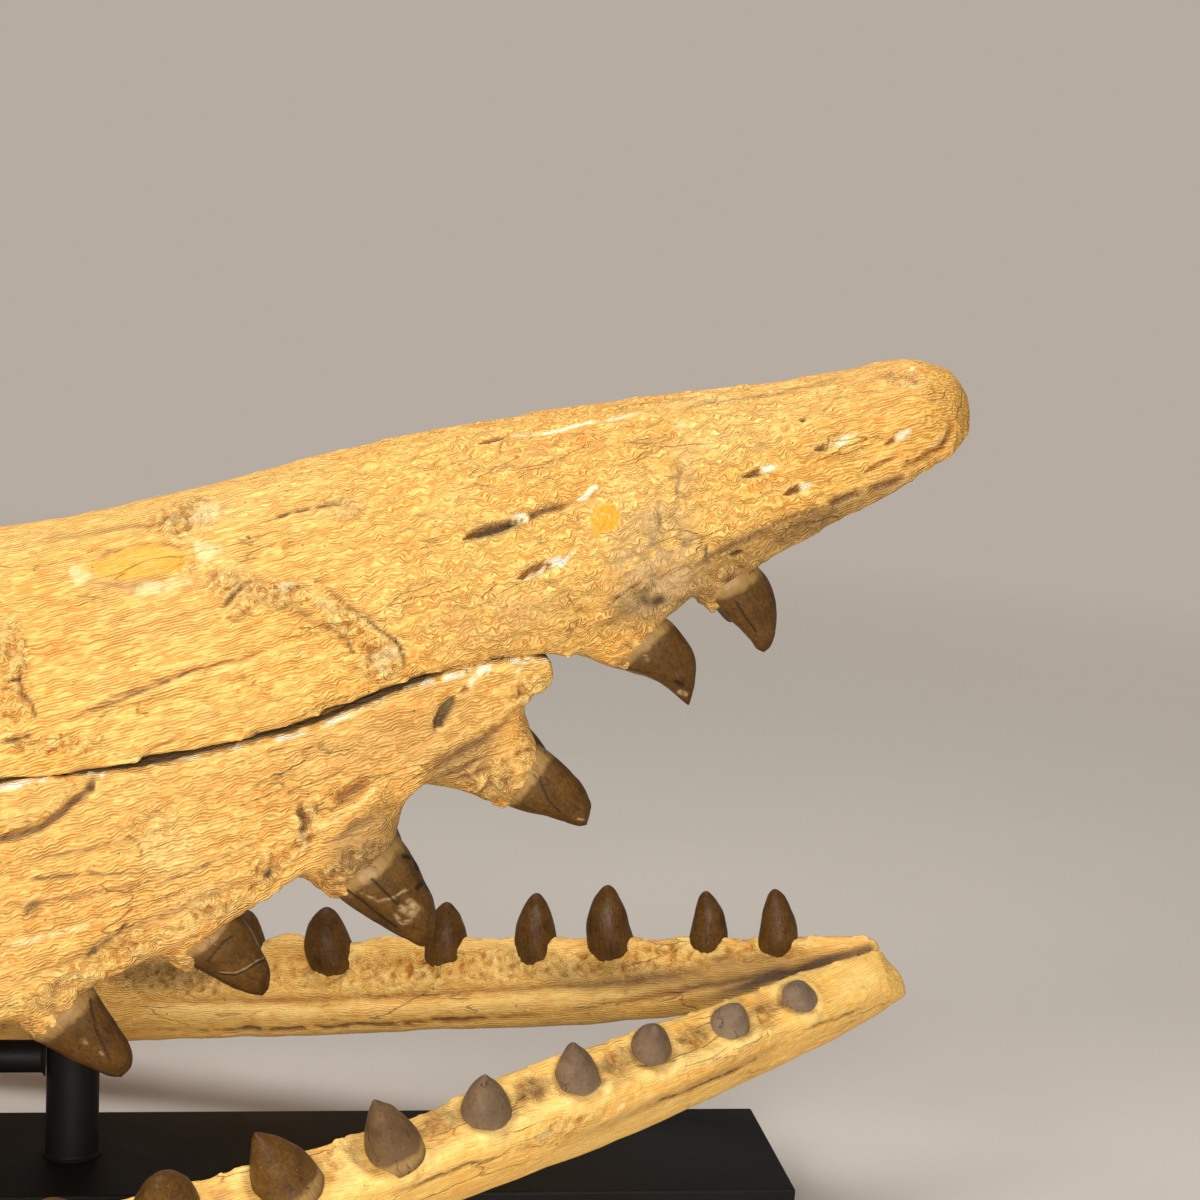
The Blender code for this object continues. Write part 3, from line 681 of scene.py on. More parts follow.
def even_mesh(node, voxel):
    """Copy of a CAD node's mesh, joined with its tooth stems, with even faces of the voxel's size."""
    bm = cad_shape(node)
    for number, rows in STEMS.get(node, {}).items():
        add_stem(bm, f"tooth_upper_right_{number}", rows)
    mesh = mesh_of(bm, node + "_shell")
    shell = bpy.data.objects.new(node + "_shell", mesh)
    bpy.context.scene.collection.objects.link(shell)
    remesh = shell.modifiers.new("even", "REMESH")
    remesh.mode = "VOXEL"
    remesh.voxel_size = voxel
    remesh.adaptivity = 0.0
    bpy.context.view_layer.update()
    graph = bpy.context.evaluated_depsgraph_get()
    made = bpy.data.meshes.new_from_object(shell.evaluated_get(graph))
    bpy.data.objects.remove(shell, do_unlink=True)
    bpy.data.meshes.remove(mesh)
    return made


def refine(mesh, rounds, chosen=None, cuts=0):
    """Splits the edges between chosen vertices, then evens the surface out."""
    bm = bmesh.new()
    bm.from_mesh(mesh)
    if cuts:
        edges = [e for e in bm.edges if chosen[e.verts[0].index] and chosen[e.verts[1].index]]
        bmesh.ops.subdivide_edges(bm, edges=edges, cuts=cuts, use_grid_fill=True)
    for _ in range(rounds):
        bmesh.ops.smooth_vert(
            bm, verts=bm.verts[:], factor=0.5, use_axis_x=True, use_axis_y=True, use_axis_z=True,
        )
    bm.to_mesh(mesh)
    bm.free()


def hollows(mesh, places, normals):
    """How far each vertex lies below its neighbours, positive in a hollow, in shares of the edge length."""
    ends = np.empty(len(mesh.edges) * 2, np.int32)
    mesh.edges.foreach_get("vertices", ends)
    a, b = ends.reshape(-1, 2).T

    def around(from_a, from_b):
        return np.bincount(a, from_b, len(places)) + np.bincount(b, from_a, len(places))

    count = around(np.ones(len(a)), np.ones(len(a)))
    sums = [around(places[a, axis], places[b, axis]) for axis in range(3)]
    middle = np.stack(sums, axis=1) / count[:, None]
    length = np.linalg.norm(places[a] - places[b], axis=1)
    value = np.einsum("ij,ij->i", middle - places, normals) * count / around(length, length)
    for _ in range(2):
        value = 0.5 * value + 0.5 * around(value[a], value[b]) / count
    return value


def grain_of_skull(places):
    """Coordinates along and across the skull, whose snout rises."""
    c, s = math.cos(SKULL_SLOPE), math.sin(SKULL_SLOPE)
    x, y, z = places.T
    return np.stack((x * c + z * s, y, z * c - x * s), axis=1)


def grain_of_jaw(places):
    """Coordinates along and across a bowed jaw bone, about its own middle line."""
    x = places[:, 0]
    stations = np.linspace(x.min(), x.max(), 40)
    slices = [places[np.argsort(np.abs(x - station))[:200]] for station in stations]
    middle = np.array([part.mean(axis=0)[1:] for part in slices])
    run = np.concatenate(((0.0,), np.cumsum(np.hypot(np.diff(stations), np.diff(middle[:, 0])))))
    lean = np.arctan(np.interp(x, stations, np.gradient(middle[:, 0], stations)))
    off = places[:, 1] - np.interp(x, stations, middle[:, 0])
    along = np.interp(x, stations, run) + off * np.sin(lean)
    return np.stack((along, off * np.cos(lean), places[:, 2] - np.interp(x, stations, middle[:, 1])), axis=1)


def grain_of_lump(places):
    """Coordinates along and across the longest direction of a bone."""
    middle = places - places.mean(axis=0)
    axes = np.linalg.eigh(middle.T @ middle)[1]
    return middle @ axes[:, ::-1]


def crack_depth(places, gap):
    """How far each vertex lies behind the outer edge of the open crack, where the crack is."""
    near = (gap < CRACK_REACH) & (places[:, 1] < 0.0)
    bins = np.floor(places[:, 0] / CRACK_STEP).astype(int)
    bins -= bins.min()
    outer = np.full(bins.max() + 1, 1.0)
    np.minimum.at(outer, bins[near], places[near, 1])
    return np.where(near, places[:, 1] - outer[bins], 0.0)


class Surface:
    """Places, normals, relief and masks of one bone while its surface is shaped."""

    def __init__(self, mesh, grain, near):
        self.mesh = mesh
        self.grain_of = grain
        self.places = numbers(mesh, "co")
        self.normals = numbers(mesh, "normal")
        self.near = near
        self.near_side = ramp(self.places[:, 1], near[1] + 0.03, near[1])
        count = len(self.places)
        self.rise = np.zeros(count)
        self.masks = {name: np.zeros(count) for name in MASKS}
        self.look(1.0)

    def look(self, side):
        """Picture spots of the surface as seen, or of its mirror image for side -1."""
        flip = np.array((1.0, side, 1.0))
        places = self.places * flip
        facing = np.einsum("ij,ij->i", CAMERA_PLACE - places, self.normals * flip)
        self.spots, depth = picture_of(places)
        self.seen = ramp(facing / depth, 0.02, 0.12)
        self.seen = self.seen * ramp(places[:, 1], self.near[1], self.near[0])
        wander = np.stack((noise(places, 9 * MM, 51), noise(places, 9 * MM, 52)), axis=1)
        self.wandered = self.spots + 1.6 * wander

    def shift(self, share, scale, across, down):
        """Moves the near side by so many pixels of the picture."""
        self.places += (share * self.near_side * scale)[:, None] * (across * RIGHT + down * DOWN)

    def pull(self, rows, lift):
        """Moves spots (from, to, reach) and then lines (line, across, down, reach) over the picture."""
        scale = picture_of(self.places)[1] / FOCAL
        for start, end, reach in rows:
            gap = np.linalg.norm(self.spots - np.array(start, float), axis=1)
            self.shift(np.exp(-(gap / reach) ** 2), scale, end[0] - start[0], end[1] - start[1])
        for line, across, down, reach in lift:
            gap, run = line_reach(self.spots, line)
            scale = picture_of(self.places)[1] / FOCAL
            self.shift(np.exp(-(gap / reach) ** 2) * unit(5.0 * run), scale, across, down)
        put_places(self.mesh, self.places)
        self.normals = numbers(self.mesh, "normal")
        self.look(1.0)

    def line(self, kind, share, points, half, depth, plaster_from=NO_PLASTER, plaster_to=NO_PLASTER):
        """Slit, crack, groove or ridge along a line, with plaster over a part of it."""
        gap, run = line_reach(self.spots if kind == "slit" else self.wandered, points)
        ends = unit(4.0 * run) * unit(4.0 * (1.0 - run))
        if kind == "slit":
            width = half * np.maximum(np.sin(math.pi * np.clip(run, 0.02, 0.98)), 0.0) ** 0.6
            shape = unit(1.0 - (gap / width) ** 2) ** 0.7
            lips = np.exp(-((gap - 1.5 * half) / (0.6 * half)) ** 2) * ends
            self.rise += share * 0.12 * depth * MM * lips
        elif kind == "crack":
            shape = np.exp(-(gap / half) ** 2) * ends
            shape *= np.clip(0.75 + 0.9 * noise(self.places, 6 * MM, 77), 0.15, 1.0)
        else:
            shape = np.exp(-(gap / half) ** 2) * np.sqrt(ends)
        filled = ramp(run, plaster_from - 0.04, plaster_from + 0.04)
        filled = filled * ramp(run, plaster_to + 0.04, plaster_to - 0.04)
        sign = 1.0 if kind == "ridge" else -1.0
        self.rise += share * sign * depth * MM * shape * (1.0 - 0.75 * filled)
        ragged = unit(0.9 + 0.9 * noise(self.places, 5 * MM, 61))
        self.masks["plaster"] += share * filled * ragged * unit(1.6 * shape)
        # Ridges get pale crests; grooves get painted shade along them, slits get painted shade in their
        # depth, and cracks get dark lines.
        if kind == "ridge":
            self.masks["pale"] += share * 0.6 * shape * unit(0.6 + noise(self.places, 8 * MM, 65))
        elif kind == "groove":
            self.masks["stain"] += share * (1.0 - filled) * 0.35 * shape
        else:
            self.masks["stain"] += share * (1.0 - filled) * unit(1.4 * shape) * DARKNESS[kind]

    def patch(self, kind, share, x, y, half_width, half_height, turn, amount):
        """Oval patch of relief or colour."""
        c, s = math.cos(math.radians(turn)), math.sin(math.radians(turn))
        off = self.wandered - np.array((x, y), float)
        if kind == "plaster":
            off = off + 3.5 * (self.wandered - self.spots)
        across = (off[:, 0] * c + off[:, 1] * s) / half_width
        down = (off[:, 1] * c - off[:, 0] * s) / half_height
        reach = np.hypot(across, down)
        soft = ramp(reach, 1.25, 0.45) * share
        sharp = ramp(reach + 0.25 * noise(self.places, 6 * MM, 33), 1.05, 0.80) * share
        if kind == "plaster":
            self.masks["plaster"] += amount * sharp * unit(0.85 + rough(self.places, 4 * MM, 2, 62))
            self.rise += 0.35 * MM * sharp * noise(self.places, 3.5 * MM, 63)
        elif kind == "resin":
            self.masks["resin"] += amount * sharp
            self.rise += 0.8 * MM * sharp
        elif kind == "spot":
            self.masks["resin"] += amount * ramp(reach, 1.06, 0.94) * share
            self.rise += 0.3 * MM * ramp(reach, 1.06, 0.80) * share
        elif kind == "drip":
            self.masks["gold"] += 1.4 * amount * soft
        elif kind == "ash":
            self.masks["ash"] += 1.2 * amount * soft * unit(0.8 + rough(self.places, 7 * MM, 2, 67))
        elif kind == "dent":
            self.rise -= amount * MM * soft
        elif kind == "dot":
            self.rise -= amount * MM * ramp(reach, 1.2, 0.4) * share
            self.masks["stain"] += ramp(reach, 1.3, 0.7) * share
        elif kind == "crater":
            bumps = rough(self.places, 6.0 * MM, 3, 71)
            creases = 0.4 - np.abs(rough(self.places, 5.0 * MM, 2, 75))
            self.rise += amount * MM * soft * (1.1 * bumps + creases)
            self.masks["swirl"] += 0.6 * soft
            self.masks["crust"] += soft * min(amount, 1.0)
            self.masks["pale"] += 0.9 * soft * unit(rough(self.places, 9 * MM, 2, 79) + 0.25)
            self.masks["stain"] += 0.12 * soft * unit(-bumps)
        elif kind == "flaky":
            steps = 0.0
            for size, high, seed in ((11, 1.0, 81), (6, 0.7, 85)):
                steps = steps + high * (ramp(rough(self.places, size * MM, 2, seed), -0.10, 0.10) - 0.5)
            self.rise += amount * MM * soft * steps
            self.masks["crust"] += 0.5 * soft
            self.masks["swirl"] += 0.5 * soft
            self.masks["pale"] += 0.7 * soft * unit(1.5 * steps)
            self.masks["stain"] += 0.16 * soft * unit(-1.5 * steps)
        else:
            self.masks[kind] += amount * soft

    def mark(self, kinds, share=1.0):
        """Carves and paints the marks where the camera can see the surface."""
        for kind, rows in kinds.items():
            make = self.line if kind in LINE_KINDS else self.patch
            for row in rows:
                make(kind, self.seen * share, *row)

    def weather(self, strength):
        """Uneven growth and wear all over: lumps, long low flutes, small waves and pits."""
        grain = self.grain_of(self.places)
        height = strength * MM
        self.rise += height * 0.8 * rough(self.places, 34 * MM, 2, 11)
        self.rise += height * 0.42 * rough(grain, np.array((60, 9, 9)) * MM, 2, 17)
        self.rise += height * 0.20 * rough(grain, np.array((14, 4.5, 4.5)) * MM, 2, 23)
        pits = ramp(noise(self.places, 4.5 * MM, 29), 0.72, 0.95)
        self.rise -= height * 0.5 * pits
        self.masks["stain"] += 0.25 * pits
        self.masks["pale"] += 0.5 * ramp(rough(self.places, 90 * MM, 3, 83), 0.15, 0.9)
        self.masks["gold"] += 0.6 * ramp(rough(self.places, 70 * MM, 3, 87), 0.20, 0.9)

    def finish(self):
        """Applies the relief and stores the masks that the material reads."""
        self.places += self.normals * self.rise[:, None]
        put_places(self.mesh, self.places)
        sunk = hollows(self.mesh, self.places, numbers(self.mesh, "normal"))
        store(self.mesh, "hollow", unit(0.5 + 3.2 * sunk))
        store(self.mesh, "under", unit(0.5 + 4.0 * self.normals[:, 1] * self.normals[:, 2]))
        for name, values in self.masks.items():
            store(self.mesh, name, unit(values))
        store(self.mesh, "grain", self.grain_of(self.places))


# Shader helpers

def add(tree, kind, inputs=None, **settings):
    """New shader node with its settings; each input is set to a value or linked to a socket."""
    made = tree.nodes.new("ShaderNode" + kind)
    for name, value in settings.items():
        setattr(made, name, value)
    for key, value in (inputs or {}).items():
        if isinstance(value, bpy.types.NodeSocket):
            tree.links.new(value, made.inputs[key])
        else:
            made.inputs[key].default_value = value
    return made


def maths(tree, operation, a, b=0.0, clamp=False):
    return add(tree, "Math", {0: a, 1: b}, operation=operation, use_clamp=clamp).outputs[0]


def times(tree, a, b):
    return maths(tree, "MULTIPLY", a, b)


def minus(tree, a, b):
    return maths(tree, "SUBTRACT", a, b)


def plus_times(tree, base, value, factor):
    """base + value * factor"""
    return add(tree, "Math", {0: value, 1: factor, 2: base}, operation="MULTIPLY_ADD").outputs[0]


def remap(tree, value, low, high, to_low=0.0, to_high=1.0):
    return add(tree, "MapRange", {
        "Value": value, "From Min": low, "From Max": high, "To Min": to_low, "To Max": to_high,
    }).outputs["Result"]


def blend(tree, share, first, second, mode="MIX"):
    """Mix of two colours, each a socket or three numbers."""
    first, second = (c if isinstance(c, bpy.types.NodeSocket) else (*c, 1.0) for c in (first, second))
    return add(tree, "Mix", {0: share, 6: first, 7: second}, data_type="RGBA", blend_type=mode).outputs[2]


def tint(tree, tone, colour, share, amount=1.0, mode="MIX"):
    """The tone with a colour over it, by a mask times an amount."""
    return blend(tree, share if amount == 1.0 else times(tree, share, amount), tone, colour, mode)


def grains(tree, vector, scale, detail=2.0, roughness=0.5, distortion=0.0):
    return add(tree, "TexNoise", {
        "Vector": vector, "Scale": scale, "Detail": detail, "Roughness": roughness, "Distortion": distortion,
    }).outputs["Fac"]


def stretched(tree, vector, along, across):
    """The grain's coordinates, scaled along it and across it."""
    return add(tree, "Mapping", {"Vector": vector, "Scale": (along, across, across)}).outputs["Vector"]


def warped(tree, vector, drift, amount):
    """The vector moved by a drift times an amount."""
    drift = add(tree, "VectorMath", {0: drift, "Scale": amount}, operation="SCALE").outputs[0]
    return add(tree, "VectorMath", {0: vector, 1: drift}, operation="ADD").outputs[0]


def stored(tree, name, what="Fac"):
    """A value that the mesh stores for each vertex."""
    return add(tree, "Attribute", attribute_name=name, attribute_type="GEOMETRY").outputs[what]


def bump(tree, shader, height, distance, strength=1.0):
    made = add(tree, "Bump", {"Strength": strength, "Distance": distance, "Height": height})
    tree.links.new(made.outputs["Normal"], shader.inputs["Normal"])


def once(store, name):
    """Builds a named material or node group the first time it is asked for, and finds it after that."""
    def wrap(build):
        return lambda *values: getattr(bpy.data, store).get(name) or build(name, *values)
    return wrap


def new_group(name, inputs, *outputs):
    """Node group with a vector input where no number is given, and the sockets of its two end nodes."""
    group = bpy.data.node_groups.new(name, "ShaderNodeTree")
    for label, value in inputs.items():
        kind = "NodeSocketVector" if value is None else "NodeSocketFloat"
        socket = group.interface.new_socket(name=label, in_out="INPUT", socket_type=kind)
        if value is not None:
            socket.default_value = value
    for label in outputs:
        group.interface.new_socket(name=label, in_out="OUTPUT", socket_type="NodeSocketFloat")
    return group, group.nodes.new("NodeGroupInput").outputs, group.nodes.new("NodeGroupOutput").inputs


def new_material(name):
    material = bpy.data.materials.new(name)
    material.use_nodes = True
    tree = material.node_tree
    return material, tree, tree.nodes["Principled BSDF"]


@once("node_groups", "Fossil fibres")
def fibre_group(name):
    """Fine parallel ridges that run along the grain, and curl where the swirl is high."""
    group, given, result = new_group(
        name, {"Grain": None, "Swirl": 0.3, "Under": 0.0, "Spacing": FIBRE_SPACING}, "Height", "Crest",
    )
    curl = add(group, "TexNoise", {"Vector": given["Grain"], "Scale": 140.0, "Detail": 0.8}).outputs["Color"]
    curl = add(group, "VectorMath", {0: curl, 1: (0.5, 0.5, 0.5)}, operation="SUBTRACT").outputs[0]
    grain = warped(group, given["Grain"], curl, plus_times(group, 0.0017, given["Swirl"], 0.0105))
    split = add(group, "SeparateXYZ", {0: grain}).outputs
    turned = maths(group, "GREATER_THAN", given["Under"], 0.5)
    share = minus(group, 0.6, times(group, turned, 1.2))
    girth = maths(group, "ADD", split["Z"], times(group, split["Y"], share))
    phase = times(group, maths(group, "DIVIDE", girth, given["Spacing"]), 2.0 * math.pi)
    strand = remap(group, maths(group, "SINE", phase), -0.9, 0.9)
    strength = remap(group, grains(group, stretched(group, grain, 45.0, 210.0), 1.0), 0.36, 0.60, 0.15, 1.0)
    strand = times(group, minus(group, strand, 0.5), strength)
    hairs = remap(group, grains(group, stretched(group, grain, 70.0, 620.0), 1.0, 1.0), 0.34, 0.66)
    height = plus_times(group, times(group, hairs, 0.42), strand, 0.62)
    group.links.new(height, result["Height"])
    group.links.new(remap(group, height, -0.06, 0.48), result["Crest"])
    return group


@once("node_groups", "Hairline cracks")
def crackle_group(name):
    """Hairline cracks between warped plates."""
    group, given, result = new_group(name, {"Vector": None, "Width": 0.05}, "Mask")
    drift = add(group, "TexNoise", {"Vector": given["Vector"], "Scale": 1.7, "Detail": 3.0}).outputs["Color"]
    plates = warped(group, given["Vector"], drift, 0.9)
    edge = add(group, "TexVoronoi", {"Vector": plates, "Scale": 1.0}, feature="DISTANCE_TO_EDGE")
    share = maths(group, "DIVIDE", edge.outputs["Distance"], given["Width"])
    line = maths(group, "SUBTRACT", 1.0, share, True)
    broken = remap(group, grains(group, given["Vector"], 0.9), 0.54, 0.64)
    group.links.new(times(group, line, broken), result["Mask"])
    return group


@once("node_groups", "Specks")
def speck_group(name):
    """Scattered small round pits or specks of uneven size."""
    group, given, result = new_group(name, {"Vector": None, "Scale": 200.0, "Size": 0.2}, "Mask")
    cells = add(group, "TexVoronoi", {"Vector": given["Vector"], "Scale": given["Scale"]}).outputs
    chance = add(group, "SeparateColor", {0: cells["Color"]}).outputs[0]
    size = times(group, given["Size"], remap(group, chance, 0.55, 1.0))
    inside = minus(group, size, cells["Distance"])
    group.links.new(remap(group, inside, 0.0, 0.08), result["Mask"])
    return group


def cracks_over(tree, vector, width):
    return add(tree, "Group", {"Vector": vector, "Width": width}, node_tree=crackle_group()).outputs["Mask"]


def specks_over(tree, vector, scale, size):
    inputs = {"Vector": vector, "Scale": scale, "Size": size}
    return add(tree, "Group", inputs, node_tree=speck_group()).outputs["Mask"]


@once("materials", "Fossil bone")
def bone_material(name, colours):
    """Ochre bone with pale crests and painted shade in the troughs along its grain, and painted shade in its
    hollows, under the colours of its marks.
    """
    material, tree, shader = new_material(name)
    grain = stored(tree, "grain", "Vector")
    place = add(tree, "TexCoord").outputs["Object"]
    aged = stored(tree, "aged")
    fibres = add(tree, "Group", {
        "Grain": grain, "Swirl": stored(tree, "swirl"), "Under": stored(tree, "under"),
    }, node_tree=fibre_group()).outputs
    pits = specks_over(tree, place, 150.0, 0.12)
    cloud = remap(tree, grains(tree, place, 16.0, 4.0, 0.6), 0.35, 0.65)
    streak = remap(tree, grains(tree, stretched(tree, grain, 14.0, 90.0), 1.0, 3.0, 0.6), 0.35, 0.70)
    tone = blend(tree, cloud, colours.ochre, colours.honey)
    tone = tint(tree, tone, colours.sand, streak, 0.75)
    tone = tint(tree, tone, colours.gold, stored(tree, "gold"), 0.75)
    tone = tint(tree, tone, colours.cream, stored(tree, "pale"), 0.60)

    # Grain: pale crests, and troughs darkened with painted shade, less where the bone is smooth
    crest = tint(tree, tone, colours.cream, fibres["Crest"], colours.crest_share)
    trough = tint(tree, crest, colours.shade, 1.0, mode="MULTIPLY")
    calm = minus(tree, 1.0, times(tree, stored(tree, "smooth"), 0.6))
    low = times(tree, minus(tree, 1.0, fibres["Crest"]), colours.trough_share)
    tone = tint(tree, crest, trough, times(tree, low, calm))

    # Painted shade in hollows, wear on edges, pits, cracks and soil
    hollow = stored(tree, "hollow")
    tone = tint(tree, tone, colours.umber, remap(tree, hollow, 0.55, 0.95), 0.75, "MULTIPLY")
    tone = tint(tree, tone, colours.cream, remap(tree, hollow, 0.42, 0.10), 0.45)
    tone = tint(tree, tone, colours.dark, pits, 0.75)
    cracks = cracks_over(tree, stretched(tree, grain, 14.0, 62.0), 0.030)
    tone = tint(tree, tone, colours.dark, cracks, remap(tree, aged, 0.0, 1.0, 0.35, 0.85))
    soil = remap(tree, grains(tree, place, 9.0, 5.0, 0.65), 0.50, 0.68)
    tone = tint(tree, tone, colours.umber, soil, times(tree, aged, 0.55), "MULTIPLY")

    # Colours of the marks; the dark stains and the greyish brown both include painted shade
    tone = tint(tree, tone, colours.dark, stored(tree, "stain"))
    tone = tint(tree, tone, colours.ash, stored(tree, "ash"))
    plaster = stored(tree, "plaster")
    fill = blend(tree, remap(tree, plaster, 0.78, 1.0), colours.filler, colours.plaster)
    tone = tint(tree, tone, fill, plaster)
    resin = stored(tree, "resin")
    tone = tint(tree, tone, blend(tree, fibres["Crest"], colours.resin, colours.amber), resin)
    tree.links.new(tone, shader.inputs["Base Color"])
    gloss = plus_times(tree, remap(tree, resin, 0.0, 1.0, 0.56, 0.32), plaster, 0.25)
    tree.links.new(gloss, shader.inputs["Roughness"])
    shader.inputs["Specular IOR Level"].default_value = 0.42

    # Relief, in shares of the grain's depth
    soft = minus(tree, 1.0, times(tree, resin, 0.85))
    height = times(tree, fibres["Height"], times(tree, soft, calm))
    height = minus(tree, minus(tree, height, times(tree, pits, 0.8)), cracks)
    height = plus_times(tree, height, times(tree, grains(tree, place, 55.0, 4.0, 0.6), aged), 5.0)
    scabs = times(tree, grains(tree, place, 260.0, 4.0, 0.65, 0.6), stored(tree, "crust"))
    height = plus_times(tree, height, scabs, 2.6)
    height = plus_times(tree, height, grains(tree, place, 150.0, 3.0, 0.6), 1.2)
    bump(tree, shader, height, colours.fibre_depth)
    return material


@once("materials", "Tooth enamel")
def enamel_material(name, colours):
    """Brown enamel, dark at the tip, with a ragged cement foot, specks, hairline cracks and chips."""
    material, tree, shader = new_material(name)
    grain = stored(tree, "grain", "Vector")
    place = add(tree, "TexCoord").outputs["Object"]
    crown = stored(tree, "crown")
    cloud = remap(tree, grains(tree, place, 70.0, 4.0, 0.6), 0.32, 0.70)
    streak = remap(tree, grains(tree, stretched(tree, grain, 40.0, 420.0), 1.0, 3.0, 0.6), 0.35, 0.68)
    stipple = remap(tree, grains(tree, place, 520.0, 3.0, 0.65), 0.36, 0.64, 0.0, 0.55)
    tone = blend(tree, cloud, colours.brown, colours.umber)
    tone = tint(tree, tone, colours.grey, streak, 0.45)
    tone = tint(tree, tone, colours.umber, stipple)
    tone = tint(tree, tone, colours.grey, remap(tree, crown, 0.30, 0.02), 0.45)
    tone = tint(tree, tone, colours.umber, remap(tree, crown, 0.80, 1.0), 0.45)
    tone = tint(tree, tone, colours.frost, stored(tree, "frost"), remap(tree, cloud, 0.0, 1.0, 1.0, 0.5))
    foot = remap(tree, plus_times(tree, crown, cloud, -0.10), 0.075, 0.010)
    ragged = times(tree, foot, remap(tree, streak, 0.0, 1.0, 1.0, 0.6))
    tone = tint(tree, tone, colours.socket, ragged, 0.55)
    tone = tint(tree, tone, colours.chip, specks_over(tree, place, 260.0, 0.16), 0.55)
    cracks = cracks_over(tree, stretched(tree, grain, 60.0, 170.0), 0.045)
    tone = tint(tree, tone, colours.split, cracks, 0.8)
    tone = tint(tree, tone, colours.chip, stored(tree, "chip"))
    tone = tint(tree, tone, colours.split, stored(tree, "split"))
    tree.links.new(tone, shader.inputs["Base Color"])
    tree.links.new(remap(tree, cloud, 0.0, 1.0, 0.34, 0.52), shader.inputs["Roughness"])
    shader.inputs["Specular IOR Level"].default_value = 0.14
    fine = grains(tree, stretched(tree, grain, 60.0, 700.0), 1.0)
    bump(tree, shader, plus_times(tree, fine, grains(tree, place, 180.0, 3.0, 0.55), 0.8), 0.45 * MM, 0.8)
    return material


@once("materials", "Black painted steel")
def steel_material(name, colours):
    """Black paint with orange peel, worn clouds and a little dust."""
    material, tree, shader = new_material(name)
    place = add(tree, "TexCoord").outputs["Object"]
    cloud = remap(tree, grains(tree, place, 14.0, 4.0, 0.6), 0.30, 0.70)
    tone = blend(tree, cloud, colours.paint, colours.worn_paint)
    tone = tint(tree, tone, colours.dust, specks_over(tree, place, 420.0, 0.10), 0.25)
    tree.links.new(tone, shader.inputs["Base Color"])
    tree.links.new(remap(tree, cloud, 0.0, 1.0, 0.46, 0.58), shader.inputs["Roughness"])
    shader.inputs["Specular IOR Level"].default_value = 0.13
    peel = plus_times(tree, grains(tree, place, 320.0), grains(tree, place, 900.0, 1.0), 0.35)
    bump(tree, shader, peel, 0.4 * MM, 0.35)
    return material


# Bones

def make_bone(
    node, voxel, grain, reach=FULL_REACH, cuts=0, marks=None, pulls=(), lift=(), wear=1.0, extra=None,
):
    """One bone: evened copy of its CAD node, refined where seen, pulled, carved and weathered."""
    settings = bpy.context.scene.fossil_bone
    mesh = even_mesh(node, voxel * (1.0))
    refine(mesh, 2)
    surface = Surface(mesh, grain, reach)
    if cuts:
        inside = (np.abs(surface.spots - 0.5 * PICTURE) < 0.5 * PICTURE + PICTURE_EDGE).all(axis=1)
        refine(mesh, 3, inside & (surface.seen > 0.02), cuts)
        surface = Surface(mesh, grain, reach)
    if pulls:
        surface.pull(pulls, lift)
    surface.weather(wear * settings.relief)
    framed = ramp(np.abs(surface.spots - 0.5 * PICTURE).max(axis=1), 0.60 * PICTURE, 0.50 * PICTURE)
    surface.masks["aged"] += 1.0 - framed * surface.near_side
    surface.mark(marks or {})
    if extra:
        extra(surface)
    surface.finish()
    return take_place(mesh, node + "_bone", bone_material(settings), (node,))


def far_side(surface, kinds, shift):
    """The same kinds of holes and grooves, shifted, on the side that the camera can't see."""
    kept = surface.spots, surface.seen, surface.wandered
    surface.look(-1.0)
    surface.spots = surface.spots + np.array((shift, 0.0))
    surface.wandered = surface.wandered + np.array((shift, 0.0))
    surface.mark({kind: kinds[kind] for kind in FAR_KINDS}, 0.8)
    surface.spots, surface.seen, surface.wandered = kept


def cranium_extra(surface):
    """Curled grain of the roof, the shadow in the open crack, the far side and the upper sockets."""
    swirl = ramp(surface.places[:, 0], 0.30, 0.46) * ramp(surface.places[:, 0], 0.74, 0.60)
    surface.masks["swirl"] += 0.75 * swirl + 0.12
    gap = line_reach(surface.spots, CRACK_LINE)[0]
    surface.masks["stain"] += ramp(crack_depth(surface.places, gap), 2 * MM, 7 * MM)
    far_side(surface, CRANIUM_MARKS, 31.0)
    socket_rims(surface, "tooth_upper_right", 1, 2)
    socket_rims(surface, "tooth_upper_left", 1, 9)


def cheek_extra(surface):
    """Shadow under the splinter, plaster on the lip of the open crack, and the upper sockets."""
    masks, places = surface.masks, surface.places
    masks["swirl"] += 0.28
    # Painted shade: greyish brown over the whole cheek piece, which faces down and forwards, darkens it.
    masks["ash"] += 0.15
    lens = line_reach(surface.wandered, LENS_EDGE)[0]
    masks["stain"] += 0.55 * ramp(lens, 5.0, 1.5) * surface.seen
    gap = line_reach(surface.spots, CRACK_LIP)[0]
    ragged = unit(0.35 + 1.4 * rough(places, 9 * MM, 3, 91))
    lip = ramp(gap, 7.0, 2.0) * ragged * (places[:, 1] < 0.0)
    deep = ramp(crack_depth(places, gap), 4 * MM, 9 * MM)
    masks["plaster"] += 1.3 * lip * (1.0 - deep)
    # Painted shade deep in the open crack.
    masks["stain"] += deep
    surface.rise -= 0.6 * MM * ramp(gap, 5.0, 1.0) * (1.0 + rough(places, 6 * MM, 2, 93))
    socket_rims(surface, "tooth_upper_right", 3, 9)


